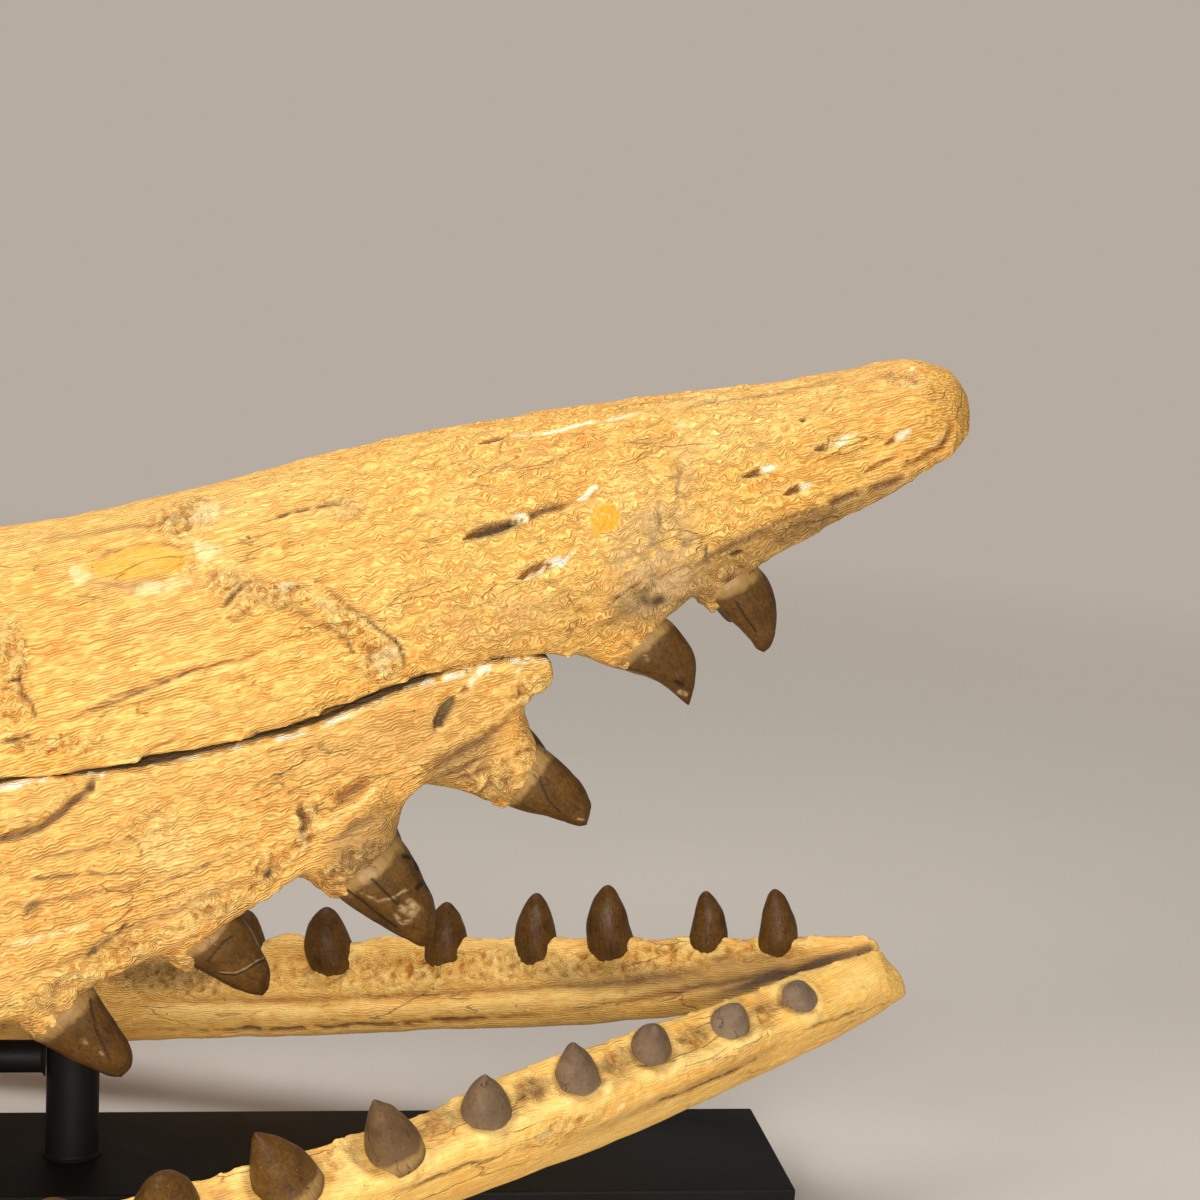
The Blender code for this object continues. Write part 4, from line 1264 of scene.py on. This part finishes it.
def socket_rims(surface, row, first, last):
    """Ragged bone collars where the upper crowns come out of the bone."""
    lumps = 0.5 + 1.3 * rough(surface.places, 5.5 * MM, 2, 41)
    # Patchy darkening around the collars.
    dark_patches = 0.45 * unit(rough(surface.places, 7 * MM, 2, 43))
    for number in range(first, last + 1):
        middle, radius = crown_rings(f"{row}_{number}")[0]
        gap = np.linalg.norm(surface.places - middle, axis=1)
        collar = ramp(gap, 1.75 * radius, 1.15 * radius)
        surface.rise += MM * collar * lumps
        surface.masks["gold"] += 0.7 * collar
        surface.masks["swirl"] += 0.5 * collar
        surface.masks["stain"] += dark_patches * collar


def tooth_row(surface, side, depth, tones):
    """Sockets of a lower jaw, the pits between them and the rough strip along them."""
    masks, places = surface.masks, surface.places
    masks["swirl"] += 0.15
    # The tones go over the whole jaw; pale, and smooth, which weakens the painted shade in the troughs and
    # the grain's relief, are painted light that makes the jaw lighter.
    for name, amount in tones.items():
        masks[name] += amount
    bases = [crown_rings(f"tooth_lower_{side}_{number}")[0] for number in range(1, LOWER_TEETH + 1)]
    gaps = [np.linalg.norm(places - middle, axis=1) for middle, radius in bases]
    ragged = 0.75 + 0.6 * noise(places, 7 * MM, 45)
    worn = 0.8 * unit(noise(places, 11 * MM, 46) + 0.5)
    for gap, (middle, radius) in zip(gaps, bases):
        rim = np.exp(-((gap - 1.32 * radius) / (0.30 * radius)) ** 2)
        surface.rise += 1.3 * MM * rim * ragged
        masks["pale"] += worn * rim
        masks["stain"] += 0.42 * ramp(gap, 1.30 * radius, 1.02 * radius)
    up = ramp(surface.normals[:, 2], 0.0, 0.6)
    lumps = 1.0 + 0.7 * rough(places, 6 * MM, 2, 47)
    # Patchy darkening in the pits between sockets.
    dark_patches = 0.45 * unit(rough(places, 6 * MM, 2, 48) + 0.3)
    for first, second in zip(bases, bases[1:]):
        gap = np.linalg.norm(places - 0.5 * (first[0] + second[0]), axis=1)
        pit = np.exp(-(gap / PIT_REACH) ** 2) * up
        surface.rise -= depth * pit * lumps
        masks["gold"] += 0.8 * pit
        masks["stain"] += dark_patches * pit
    strip = ramp(np.min(gaps, axis=0), 0.050, 0.020)
    surface.rise += 0.5 * depth * strip * rough(places, 8 * MM, 3, 49)


def near_jaw_extra(surface):
    # Painted light: the pale and smooth tones make the whole near jaw lighter.
    tooth_row(surface, "right", 0.9 * MM, {"smooth": 1.0, "pale": 0.20, "gold": 0.20})


def far_jaw_extra(surface):
    """Tooth row with tones that paint the jaw lighter, and a painted shadow that fades in where the jaw goes
    behind the near one.
    """
    tooth_row(surface, "left", 1.8 * MM, {"smooth": 0.8, "pale": 0.10, "gold": 0.45})
    gap = line_reach(surface.wandered, JAW_SHADOW_LINE)[0]
    shown = ramp(surface.spots[:, 0], 640.0, 760.0) * surface.seen
    # Painted shadow where the near jaw hides the far one.
    surface.masks["stain"] += 0.80 * ramp(gap, 8.0, 2.0) * shown


# Teeth

def crown_rings(node):
    """Middle and radius of each ring of a CAD crown, from its base to its tip."""
    bm = cad_shape(node)
    bmesh.ops.dissolve_limit(bm, angle_limit=0.002, verts=bm.verts[:], edges=bm.edges[:])
    base = max((f for f in bm.faces if len(f.verts) == 8), key=lambda f: f.calc_area())
    layers = [list(base.verts)]
    reached = set(base.verts)
    while layers[-1]:
        layer = [e.other_vert(v) for v in layers[-1] for e in v.link_edges if e.other_vert(v) not in reached]
        layers.append(list(dict.fromkeys(layer)))
        reached.update(layer)
    rings = []
    for layer in layers[:-1]:
        middle = sum((v.co for v in layer), Vector()) / len(layer)
        radius = sum((v.co - middle).length for v in layer) / len(layer)
        rings.append((np.array(middle), radius))
    bm.free()
    return rings


def smooth_interp(x, xs, ys):
    """Cubic curve through the points (xs, ys)."""
    slopes = np.gradient(ys, xs)
    k = np.clip(np.searchsorted(xs, x, side="right") - 1, 0, len(xs) - 2)
    width = xs[k + 1] - xs[k]
    t = (x - xs[k]) / width
    return (
        (1 + 2 * t) * (1 - t) ** 2 * ys[k] + t * (1 - t) ** 2 * width * slopes[k]
        + t * t * (3 - 2 * t) * ys[k + 1] + t * t * (t - 1) * width * slopes[k + 1]
    )


def resample(points, shares):
    """Places on a smooth curve through the points, at these shares of its length."""
    points = np.array(points, float)
    steps = np.concatenate(((0.0,), np.cumsum(np.linalg.norm(np.diff(points, axis=0), axis=1))))
    return np.stack([smooth_interp(shares, steps / steps[-1], values) for values in points.T], axis=1)


def frame_matrix(middle, u, v):
    """Matrix that carries the unit circle to a ring with these half axes."""
    u, v = Vector(u), Vector(v)
    n = u.cross(v).normalized() * 0.5 * (u.length + v.length)
    made = Matrix((u, v, n)).transposed().to_4x4()
    made.translation = Vector(middle)
    return made


def loft_crown(frames, sides):
    """Crown from ring frames (middle and two half axes); every ring is extruded from the last."""
    bm = bmesh.new()
    bmesh.ops.create_circle(bm, cap_ends=False, radius=1.0, segments=sides)
    last = frame_matrix(*frames[0])
    bmesh.ops.transform(bm, matrix=last, verts=bm.verts[:])
    first_edges = bm.edges[:]
    edges = first_edges
    for row in frames[1:]:
        now = frame_matrix(*row)
        made = bmesh.ops.extrude_edge_only(bm, edges=edges)["geom"]
        ring = [g for g in made if isinstance(g, bmesh.types.BMVert)]
        fresh = set(ring)
        edges = [e for e in made if isinstance(e, bmesh.types.BMEdge) and fresh.issuperset(e.verts)]
        bmesh.ops.transform(bm, matrix=now @ last.inverted(), verts=ring)
        last = now
    for loop in (first_edges, edges):
        made = bmesh.ops.edgeloop_fill(bm, edges=loop)["faces"]
        bmesh.ops.poke(bm, faces=made)
    bmesh.ops.recalc_face_normals(bm, faces=bm.faces[:])
    return bm


def crown_shares(count=CROWN_STEPS):
    """Stations along a crown, closer together at the tip."""
    t = np.linspace(0.0, 1.0, count)
    return 1.0 - (1.0 - t) ** 1.5


def outline_frames(node, outline):
    """Ring frames whose front and rear edges follow the outline in the picture."""
    shares = crown_shares(NEAR_STEPS)
    front, rear = (resample(edge, shares) for edge in outline)
    rings = crown_rings(node)
    heights = [middle[1] for middle, radius in rings]
    depth = np.interp(shares, np.linspace(0.0, 1.0, len(heights)), heights)
    radius = rings[0][1]
    frames = []
    for a, b, y, share in zip(front, rear, depth, shares):
        fore, aft = place_at(a, y), place_at(b, y)
        u = 0.5 * (fore - aft)
        long = max(np.linalg.norm(u), 0.0006)
        u = u / max(np.linalg.norm(u), 1e-9) * long
        wide = min(0.82 * long, 1.02 * radius * math.sqrt(max(1.0 - share ** 2.4, 0.0)) + 0.0005)
        frames.append((0.5 * (fore + aft), u, np.array((0.0, wide, 0.0))))
    return frames


def ring_frames(node, keel, blunt):
    """Ring frames through the CAD crown's own rings, rounded between them."""
    rings = crown_rings(node)
    shares = crown_shares()
    line = resample([middle for middle, radius in rings], shares)
    radius = rings[0][1]
    side = Vector((0.0, 1.0, 0.0))
    frames = []
    for middle, step, share in zip(line, np.gradient(line, axis=0), shares):
        way = Vector(step).normalized()
        across = (side - side.dot(way) * way).normalized()
        fore = across.cross(way)
        width = radius * ((1.0 - share ** blunt) ** 0.62) * (1.0 - 0.12 * share) + 0.0006
        frames.append((middle, np.array(fore) * width * keel, np.array(across) * width * 0.95))
    return frames


def far_frames(node, row):
    """Ring frames of a far lower crown from its base and tip in the picture."""
    left, right, tip, lean = (np.array(value, float) for value in row)
    inner = crown_rings(node)[0][0][1] - 0.011
    frames = []
    for share in crown_shares():
        belly = math.sin(math.pi * share)
        middle = 0.5 * (left + right) * (1.0 - share) + tip * share + lean * belly * np.array((1, 0))
        sunk = 1.0 - ramp(share, 0.0, 0.24)
        y = inner + 0.006 * sunk
        half = 0.5 * (right - left)[0] * (1.0 - share ** 2.3) ** 0.60 * (0.97 + 0.04 * belly) + 0.4
        half *= 1.05 - 0.06 * sunk ** 3
        at = place_at(middle, y)
        u = place_at(middle + np.array((half, 0.0)), y) - at
        frames.append((at, u, np.array((0.0, 0.92 * np.linalg.norm(u), 0.0))))
    return frames


def leaning_frames(node, foot, tip, width, out):
    """Ring frames of a near lower crown that leans out towards the camera."""
    y = crown_rings(node)[0][0][1]
    foot, tip = place_at(foot, y), place_at(tip, y - out)
    way = (tip - foot) / np.linalg.norm(tip - foot)
    foot = foot - 0.004 * way
    radius = 0.5 * width * picture_of(foot[None])[1][0] / FOCAL
    across = np.cross(way, (0.0, 1.0, 0.0))
    across = across / np.linalg.norm(across)
    frames = []
    for share in crown_shares():
        belly = math.sin(math.pi * share)
        size = radius * (1.0 - share ** 1.15) ** 0.84 * (0.96 + 0.10 * belly) + 0.0005
        bow = 0.002 * belly * np.cross(across, way)
        frames.append((foot + (tip - foot) * share + bow, across * size, np.cross(way, across) * size))
    return frames


def crown_marks(places, normals, rows):
    """Masks of the chips and splits in a near crown, and how far they sink into it."""
    spots, depth = picture_of(places)
    seen = ramp(np.einsum("ij,ij->i", CAMERA_PLACE - places, normals) / depth, -0.1, 0.1)
    masks = {"chip": np.zeros(len(places)), "split": np.zeros(len(places))}
    sunk = np.zeros(len(places))
    for kind, points, half in rows:
        gap = line_reach(spots, points)[0]
        worn = np.exp(-(gap / (half + 0.2)) ** 4) * seen
        sunk += (0.30 if kind == "chip" else 0.35 * half) * MM * worn
        if kind == "chip":
            worn = worn * unit(0.8 + noise(places, 1.6 * MM, 5))
        masks[kind] += worn
    return masks, sunk


def make_crown(node, frames, rows=(), frost=0.0):
    """One crown, which reaches back into the bone with one more ring."""
    base, tip = frames[0][0], frames[-1][0]
    back = base - FOOT * (frames[2][0] - base) / np.linalg.norm(frames[2][0] - base)
    frames = [(back, *frames[0][1:]), *frames]
    mesh = mesh_of(loft_crown(frames, NEAR_SIDES if rows else CROWN_SIDES), node)
    places = numbers(mesh, "co")
    normals = numbers(mesh, "normal")
    length = np.linalg.norm(tip - base)
    along = (places - base) @ (tip - base) / length
    crown = unit(along / length)
    seed = 100 + sum(ord(c) for c in node)
    shift = np.array((seed * 0.01, 0.0, 0.0))
    grain = grain_of_lump(places)
    grain[:, 0] = along
    rise = 0.35 * MM * rough(grain + shift, np.array((22, 5, 5)) * MM, 2, seed)
    rise += 0.30 * MM * rough(places + shift, 9 * MM, 2, seed + 7)
    masks, sunk = crown_marks(places, normals, rows)
    rise = rise * ramp(crown, 1.0, 0.90) - sunk
    put_places(mesh, places + normals * rise[:, None])
    store(mesh, "crown", crown)
    store(mesh, "frost", np.full(len(places), frost))
    for name, values in masks.items():
        store(mesh, name, unit(values))
    store(mesh, "grain", grain + shift)
    look = enamel_material(bpy.context.scene.fossil_teeth)
    return take_place(mesh, node + "_crown", look, (node,))


def add_stem(bm, node, rows):
    """Joins a closed bone stem to the bmesh; its rings follow the edges seen in the picture."""
    middle, radius = crown_rings(node)[0]
    frames = []
    for k, (a, b) in enumerate(rows):
        fore, aft = place_at(a, middle[1]), place_at(b, middle[1])
        u = 0.5 * (fore - aft)
        share = k / (len(rows) - 1)
        wide = min(1.02 * radius + 0.006 * (1.0 - share), 0.9 * np.linalg.norm(u))
        frames.append((0.5 * (fore + aft), u, np.array((0.0, wide, 0.0))))
    mesh = mesh_of(loft_crown(frames, STEM_SIDES), "stem")
    bm.from_mesh(mesh)
    bpy.data.meshes.remove(mesh)


# Stand

def spun(profile, start, axis, steps):
    """Closed round piece from a profile of (distance from the axis, height along the axis)."""
    axis = Vector(axis)
    across = axis.orthogonal().normalized()
    bm = bmesh.new()
    verts = [bm.verts.new(start + across * r + axis * h) for r, h in profile]
    edges = [bm.edges.new(pair) for pair in zip(verts, verts[1:])]
    bmesh.ops.spin(
        bm, geom=verts + edges, cent=start, axis=axis, dvec=(0, 0, 0), angle=2.0 * math.pi,
        steps=steps, use_merge=True, use_duplicate=False,
    )
    bmesh.ops.remove_doubles(bm, verts=bm.verts[:], dist=1e-6)
    bmesh.ops.recalc_face_normals(bm, faces=bm.faces[:])
    return bm


def quarter(steps):
    """Turns from nothing to a quarter circle, in equal steps."""
    return [0.5 * math.pi * k / steps for k in range(steps + 1)]


def rounded(radius, low, high, edge, bead=0.0):
    """Profile of a round bar with softened ends and, where given, a weld bead at its low end."""
    rows = [(0.0, low)]
    if bead:
        rows += [(radius + bead, low), (radius + bead, low + 0.4 * bead)]
        for turn in quarter(5)[1:]:
            rows.append((radius + bead * (1.0 - math.sin(turn)), low + bead * (1.4 - math.cos(turn))))
    else:
        for turn in quarter(4):
            rows.append((radius - edge * (1.0 - math.sin(turn)), low + edge * (1.0 - math.cos(turn))))
    for turn in quarter(4):
        rows.append((radius - edge * (1.0 - math.cos(turn)), high - edge * (1.0 - math.sin(turn))))
    rows.append((0.0, high))
    return rows


def post_profile(radius, shoulder, top, settings):
    """Post with a weld bead at its foot and a thinner rod from its shoulder up."""
    rows = rounded(radius, 0.0, shoulder, settings.edge, settings.bead)[:-1]
    rows += [(POST_ROD + 0.0015, shoulder), (POST_ROD, shoulder + 0.0015)]
    return rows + [(POST_ROD, top - 0.0005), (POST_ROD - 0.0005, top), (0.0, top)]


def beam_profile(radius, length, bead):
    """Round bar with a weld bead against the post at each end."""
    low = rounded(radius, 0.0, 0.5 * length, 0.0, bead)[:-6]
    return low + [(r, length - h) for r, h in reversed(low)]


def make_steel(bm, node):
    """A piece of the stand in place of its CAD node."""
    look = steel_material(bpy.context.scene.fossil_stand)
    return take_place(mesh_of(bm, node), node + "_steel", look, (node,))


# Settings

def colour_setting(name, value, text):
    return bpy.props.FloatVectorProperty(
        name=name, description=text, default=value, size=3, min=0.0, max=1.0, subtype="COLOR",
    )


def number_setting(name, value, text, low=0.0, **kind):
    return bpy.props.FloatProperty(name=name, description=text, default=value, min=low, **kind)


def length_setting(name, value, text, low):
    return number_setting(name, value, text, low, max=0.01, unit="LENGTH", subtype="DISTANCE")


class FossilBoneSettings(bpy.types.PropertyGroup):
    """Colours and grain of the bones"""

    ochre: colour_setting("Ochre", (0.80, 0.395, 0.052), "Main colour of the bone")
    honey: colour_setting("Honey", (0.88, 0.480, 0.074), "Lighter clouds in the bone")
    sand: colour_setting("Sand", (0.90, 0.550, 0.112), "Long pale streaks along the grain")
    gold: colour_setting("Gold", (0.80, 0.36, 0.042), "Deep yellow areas")
    cream: colour_setting("Cream", (0.94, 0.68, 0.235), "Worn crests and pale areas")
    # Umber is multiplied in as painted shade in the hollows, and as soil over aged bone.
    umber: colour_setting("Umber", (0.58, 0.32, 0.12), "Dirt that darkens hollows and troughs")
    # Shade is painted shade, multiplied into the troughs of the grain.
    shade: colour_setting("Shade", (0.66, 0.44, 0.22), "Troughs between the ridges of the grain")
    dark: colour_setting("Dark", (0.10, 0.052, 0.018), "Pits, cracks and stains")
    plaster: colour_setting("Plaster", (0.84, 0.77, 0.64), "Filler in cracks and slits")
    filler: colour_setting("Old filler", (0.90, 0.70, 0.34), "Yellowed filler in the patches on the roof")
    # Ash colours greyish brown bone, and also serves as painted shade on the cheek piece and the side of the
    # snout.
    ash: colour_setting("Ash", (0.50, 0.31, 0.12), "Greyish brown areas")
    resin: colour_setting("Resin", (0.66, 0.29, 0.012), "Troughs of the grain under resin")
    amber: colour_setting("Amber", (0.76, 0.37, 0.022), "Crests of the grain under resin")
    crest_share: number_setting("Crest", 0.46, "Paleness of the crests", max=1.0, subtype="FACTOR")
    # Trough sets how strong the painted shade in the troughs is.
    trough_share: number_setting("Trough", 0.90, "Darkness of the troughs", max=1.0, subtype="FACTOR")
    fibre_depth: length_setting("Grain depth", 0.0011, "Height of the fine grain", 0.0)
    relief: number_setting("Relief", 1.0, "Strength of lumps, flutes and pits", max=3.0)


class FossilTeethSettings(bpy.types.PropertyGroup):
    """Colours of the tooth crowns"""

    brown: colour_setting("Brown", (0.140, 0.064, 0.012), "Main colour of the enamel")
    umber: colour_setting("Umber", (0.050, 0.019, 0.003), "Dark clouds and tips")
    grey: colour_setting("Grey", (0.158, 0.088, 0.030), "Streaks and worn bases")
    frost: colour_setting("Frost", (0.295, 0.226, 0.162), "Greyish bloom of the worn lower crowns")
    socket: colour_setting("Socket", (0.50, 0.30, 0.10), "Cement that covers the foot of a crown")
    chip: colour_setting("Chip", (0.36, 0.24, 0.11), "Chips and pale cracks")
    split: colour_setting("Split", (0.025, 0.012, 0.006), "Dark cracks in the enamel")


class FossilStandSettings(bpy.types.PropertyGroup):
    """Colours of the stand and size of its details"""

    paint: colour_setting("Paint", (0.0055, 0.0046, 0.0040), "Black paint")
    worn_paint: colour_setting("Worn paint", (0.009, 0.0078, 0.0068), "Clouds of duller black in the paint")
    dust: colour_setting("Dust", (0.10, 0.09, 0.08), "Specks of dust on the paint")
    edge: length_setting("Edge", 0.0018, "Radius of the softened edges", 0.0002)
    bead: length_setting("Weld", 0.0022, "Width of the weld beads", 0.0002)


class FossilStudioSettings(bpy.types.PropertyGroup):
    """Light and backdrop"""

    backdrop: colour_setting("Backdrop", (0.470, 0.412, 0.356), "Colour behind the object")
    floor: colour_setting("Floor", (0.56, 0.512, 0.462), "Colour of the floor")
    floor_cloud: colour_setting("Floor clouds", (0.52, 0.472, 0.424), "Darker clouds in the floor")
    key: number_setting("Key", 33.0, "Power of the main light", unit="POWER")
    fill: number_setting("Fill", 48.0, "Power of the front light at camera height", unit="POWER")
    top: number_setting("Top", 50.0, "Power of the light from above", unit="POWER")
    sky: number_setting("Sky", 0.25, "Strength of the light from all round")


# Pieces

class FOSSIL_OT_cranium(bpy.types.Operator):
    """Carve the upper skull"""

    bl_idname = "fossil.cranium"
    bl_label = "Cranium"

    def execute(self, context):
        make_bone(
            "cranium", 0.0064, grain_of_skull, CRANIUM_REACH, 3, CRANIUM_MARKS, CRANIUM_PULLS,
            extra=cranium_extra,
        )
        return {"FINISHED"}


class FOSSIL_OT_cheek(bpy.types.Operator):
    """Carve the loose right cheek piece under the crack"""

    bl_idname = "fossil.cheek"
    bl_label = "Cheek piece"

    def execute(self, context):
        make_bone(
            "maxilla_right", 0.0046, grain_of_skull, CHEEK_REACH, 2, CHEEK_MARKS, CHEEK_PULLS,
            extra=cheek_extra,
        )
        return {"FINISHED"}


class FOSSIL_OT_jaws(bpy.types.Operator):
    """Carve the four pieces of the lower jaw"""

    bl_idname = "fossil.jaws"
    bl_label = "Lower jaws"

    def execute(self, context):
        make_bone(
            "jaw_front_right", 0.0040, grain_of_jaw, FULL_REACH, 1, NEAR_JAW_MARKS, NEAR_JAW_PULLS,
            NEAR_JAW_LIFT, extra=near_jaw_extra,
        )
        make_bone(
            "jaw_front_left", 0.0040, grain_of_jaw, FULL_REACH, 1, FAR_JAW_MARKS, FAR_JAW_PULLS,
            extra=far_jaw_extra,
        )
        for side in SIDES:
            make_bone(f"jaw_rear_{side}", 0.0042, grain_of_jaw, wear=1.3)
        return {"FINISHED"}


class FOSSIL_OT_rear_bones(bpy.types.Operator):
    """Carve the quadrates, jugals and pterygoids"""

    bl_idname = "fossil.rear_bones"
    bl_label = "Rear bones"

    def execute(self, context):
        for name in ("quadrate", "jugal", "pterygoid"):
            for side in SIDES:
                make_bone(f"{name}_{side}", 0.0034, grain_of_lump)
        return {"FINISHED"}


class FOSSIL_OT_upper_teeth(bpy.types.Operator):
    """Make the eighteen upper crowns"""

    bl_idname = "fossil.upper_teeth"
    bl_label = "Upper teeth"

    def execute(self, context):
        for number in range(1, UPPER_TEETH + 1):
            node = f"tooth_upper_right_{number}"
            if number in CROWN_OUTLINES:
                make_crown(node, outline_frames(node, CROWN_OUTLINES[number]), CROWN_MARKS[number])
            else:
                make_crown(node, ring_frames(node, 1.06, 1.9))
            node = f"tooth_upper_left_{number}"
            make_crown(node, ring_frames(node, 0.80 if number < 5 else 1.06, 1.9))
        return {"FINISHED"}


class FOSSIL_OT_lower_teeth(bpy.types.Operator):
    """Make the twenty-two lower crowns"""

    bl_idname = "fossil.lower_teeth"
    bl_label = "Lower teeth"

    def execute(self, context):
        for number in range(1, LOWER_TEETH + 1):
            for side in SIDES:
                node = f"tooth_lower_{side}_{number}"
                if side == "left" and number in FAR_CROWNS:
                    make_crown(node, far_frames(node, FAR_CROWNS[number]))
                elif side == "right" and number in NEAR_CROWNS:
                    *row, frost = NEAR_CROWNS[number]
                    make_crown(node, leaning_frames(node, *row), frost=frost)
                else:
                    make_crown(node, ring_frames(node, 1.02, 2.2))
        return {"FINISHED"}


class FOSSIL_OT_stand(bpy.types.Operator):
    """Make the base plate, posts and tubes"""

    bl_idname = "fossil.stand"
    bl_label = "Stand"

    def execute(self, context):
        settings = context.scene.fossil_stand
        low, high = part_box("base_plate")
        bm = bmesh.new()
        bmesh.ops.create_cube(bm, size=1.0)
        bmesh.ops.scale(bm, vec=high - low, verts=bm.verts[:])
        bmesh.ops.translate(bm, vec=0.5 * (high + low), verts=bm.verts[:])
        bmesh.ops.bevel(
            bm, geom=bm.edges[:], offset=settings.edge, offset_type="OFFSET", segments=4, profile=0.5,
            affect="EDGES", material=-1,
        )
        make_steel(bm, "base_plate").data.shade_flat()
        beam_low, beam_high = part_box("beam")
        for node in ("post_front", "post_rear"):
            low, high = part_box(node)
            middle = 0.5 * (low + high)
            shoulder = beam_high.z + POST_ABOVE_BEAM - low.z
            rows = post_profile(0.5 * (high.x - low.x), shoulder, high.z - low.z, settings)
            make_steel(spun(rows, Vector((middle.x, middle.y, low.z)), (0.0, 0.0, 1.0), 64), node)
        middle = 0.5 * (beam_low + beam_high)
        radius = 0.5 * (beam_high.z - beam_low.z)
        rows = beam_profile(radius, beam_high.x - beam_low.x, settings.bead)
        make_steel(spun(rows, Vector((beam_low.x, middle.y, middle.z)), (1.0, 0.0, 0.0), 48), "beam")
        low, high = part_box("cross_tube")
        middle = 0.5 * (low + high)
        rows = rounded(0.5 * (high.z - low.z), 0.0, high.y - low.y, CROSS_TUBE_EDGE)
        make_steel(spun(rows, Vector((middle.x, low.y, middle.z)), (0.0, 1.0, 0.0), 40), "cross_tube")
        return {"FINISHED"}


# Studio

class FOSSIL_OT_studio(bpy.types.Operator):
    """Set up the floor, light and camera"""

    bl_idname = "fossil.studio"
    bl_label = "Studio"

    def execute(self, context):
        settings = context.scene.fossil_studio
        add_floor(settings)
        add_world(settings)
        for name, row in LIGHTS.items():
            add_light(name, getattr(settings, name.lower()), *row)
        add_camera(context)
        context.scene.view_settings.view_transform = "Standard"
        return {"FINISHED"}


def add_floor(settings):
    """Round floor that fades out towards its rim."""
    bm = bmesh.new()
    bmesh.ops.create_circle(bm, cap_ends=True, radius=7.0, segments=96)
    floor = bpy.data.objects.new("floor", mesh_of(bm, "floor"))
    bpy.context.scene.collection.objects.link(floor)
    material, tree, shader = new_material("Pale floor")
    place = add(tree, "TexCoord").outputs["Object"]
    speck = remap(tree, grains(tree, place, 6.0, 3.0, 0.5), 0.3, 0.7, 0.0, 0.25)
    tree.links.new(blend(tree, speck, settings.floor, settings.floor_cloud), shader.inputs["Base Color"])
    shader.inputs["Roughness"].default_value = 0.75
    shader.inputs["Specular IOR Level"].default_value = 0.2
    reach = add(tree, "VectorMath", {0: place}, operation="LENGTH").outputs["Value"]
    clear = add(tree, "BsdfTransparent").outputs[0]
    join = add(tree, "MixShader", {0: remap(tree, reach, 1.0, 3.0), 1: shader.outputs[0], 2: clear})
    tree.links.new(join.outputs[0], tree.nodes["Material Output"].inputs["Surface"])
    dress(floor, material)


def add_world(settings):
    """Backdrop for the camera, and soft light from all round for everything else."""
    world = bpy.data.worlds.new("Studio")
    bpy.context.scene.world = world
    world.use_nodes = True
    tree = world.node_tree
    tree.nodes.clear()
    shown = add(tree, "Background", {"Color": (*settings.backdrop, 1.0), "Strength": 1.0}).outputs[0]
    light = add(tree, "Background", {"Color": (*SKY_TONE, 1.0), "Strength": settings.sky}).outputs[0]
    camera = add(tree, "LightPath").outputs["Is Camera Ray"]
    join = add(tree, "MixShader", {0: camera, 1: light, 2: shown})
    add(tree, "OutputWorld", {"Surface": join.outputs[0]})


def add_light(name, power, place, target, size, tone):
    """Round area light that points at its target."""
    lamp = bpy.data.lights.new(name, "AREA")
    lamp.shape = "DISK"
    lamp.size = size
    lamp.energy = power
    lamp.color = tone
    obj = bpy.data.objects.new(name, lamp)
    bpy.context.scene.collection.objects.link(obj)
    obj.location = place
    obj.rotation_euler = (Vector(target) - Vector(place)).to_track_quat("-Z", "Y").to_euler()


def add_camera(context):
    """Camera that sees the picture of the reference."""
    data = bpy.data.cameras.new("Camera")
    data.sensor_fit = "HORIZONTAL"
    data.sensor_width = 36.0
    data.lens = FOCAL * data.sensor_width / PICTURE
    data.clip_start = 0.05
    data.clip_end = 50.0
    camera = bpy.data.objects.new("Camera", data)
    context.scene.collection.objects.link(camera)
    turn = Matrix((Vector(RIGHT), Vector(-DOWN), Vector(-FORWARD))).transposed()
    camera.matrix_world = Matrix.Translation(Vector(CAMERA_PLACE)) @ turn.to_4x4()
    context.scene.camera = camera


OPERATORS = (
    FOSSIL_OT_cranium, FOSSIL_OT_cheek, FOSSIL_OT_jaws, FOSSIL_OT_rear_bones, FOSSIL_OT_upper_teeth,
    FOSSIL_OT_lower_teeth, FOSSIL_OT_stand, FOSSIL_OT_studio,
)
SETTINGS = (
    ("fossil_bone", FossilBoneSettings), ("fossil_teeth", FossilTeethSettings),
    ("fossil_stand", FossilStandSettings), ("fossil_studio", FossilStudioSettings),
)


class FOSSIL_PT_panel(bpy.types.Panel):
    """Settings and buttons of the fossil skull"""

    bl_idname = "FOSSIL_PT_panel"
    bl_label = "Fossil skull"
    bl_space_type = "VIEW_3D"
    bl_region_type = "UI"
    bl_category = "Fossil"

    def draw(self, context):
        for name, group in SETTINGS:
            box = self.layout.box()
            for key in group.__annotations__:
                box.prop(getattr(context.scene, name), key)
        for operator in OPERATORS:
            self.layout.operator(operator.bl_idname)


def register():
    for name, group in SETTINGS:
        bpy.utils.register_class(group)
        setattr(bpy.types.Scene, name, bpy.props.PointerProperty(type=group))
    for operator in OPERATORS:
        bpy.utils.register_class(operator)
    bpy.utils.register_class(FOSSIL_PT_panel)


def unregister():
    bpy.utils.unregister_class(FOSSIL_PT_panel)
    for operator in reversed(OPERATORS):
        bpy.utils.unregister_class(operator)
    for name, group in reversed(SETTINGS):
        delattr(bpy.types.Scene, name)
        bpy.utils.unregister_class(group)


def main():
    register()
    for operator in OPERATORS:
        group, name = operator.bl_idname.split(".")
        getattr(getattr(bpy.ops, group), name)()


if __name__ == "__main__":
    main()
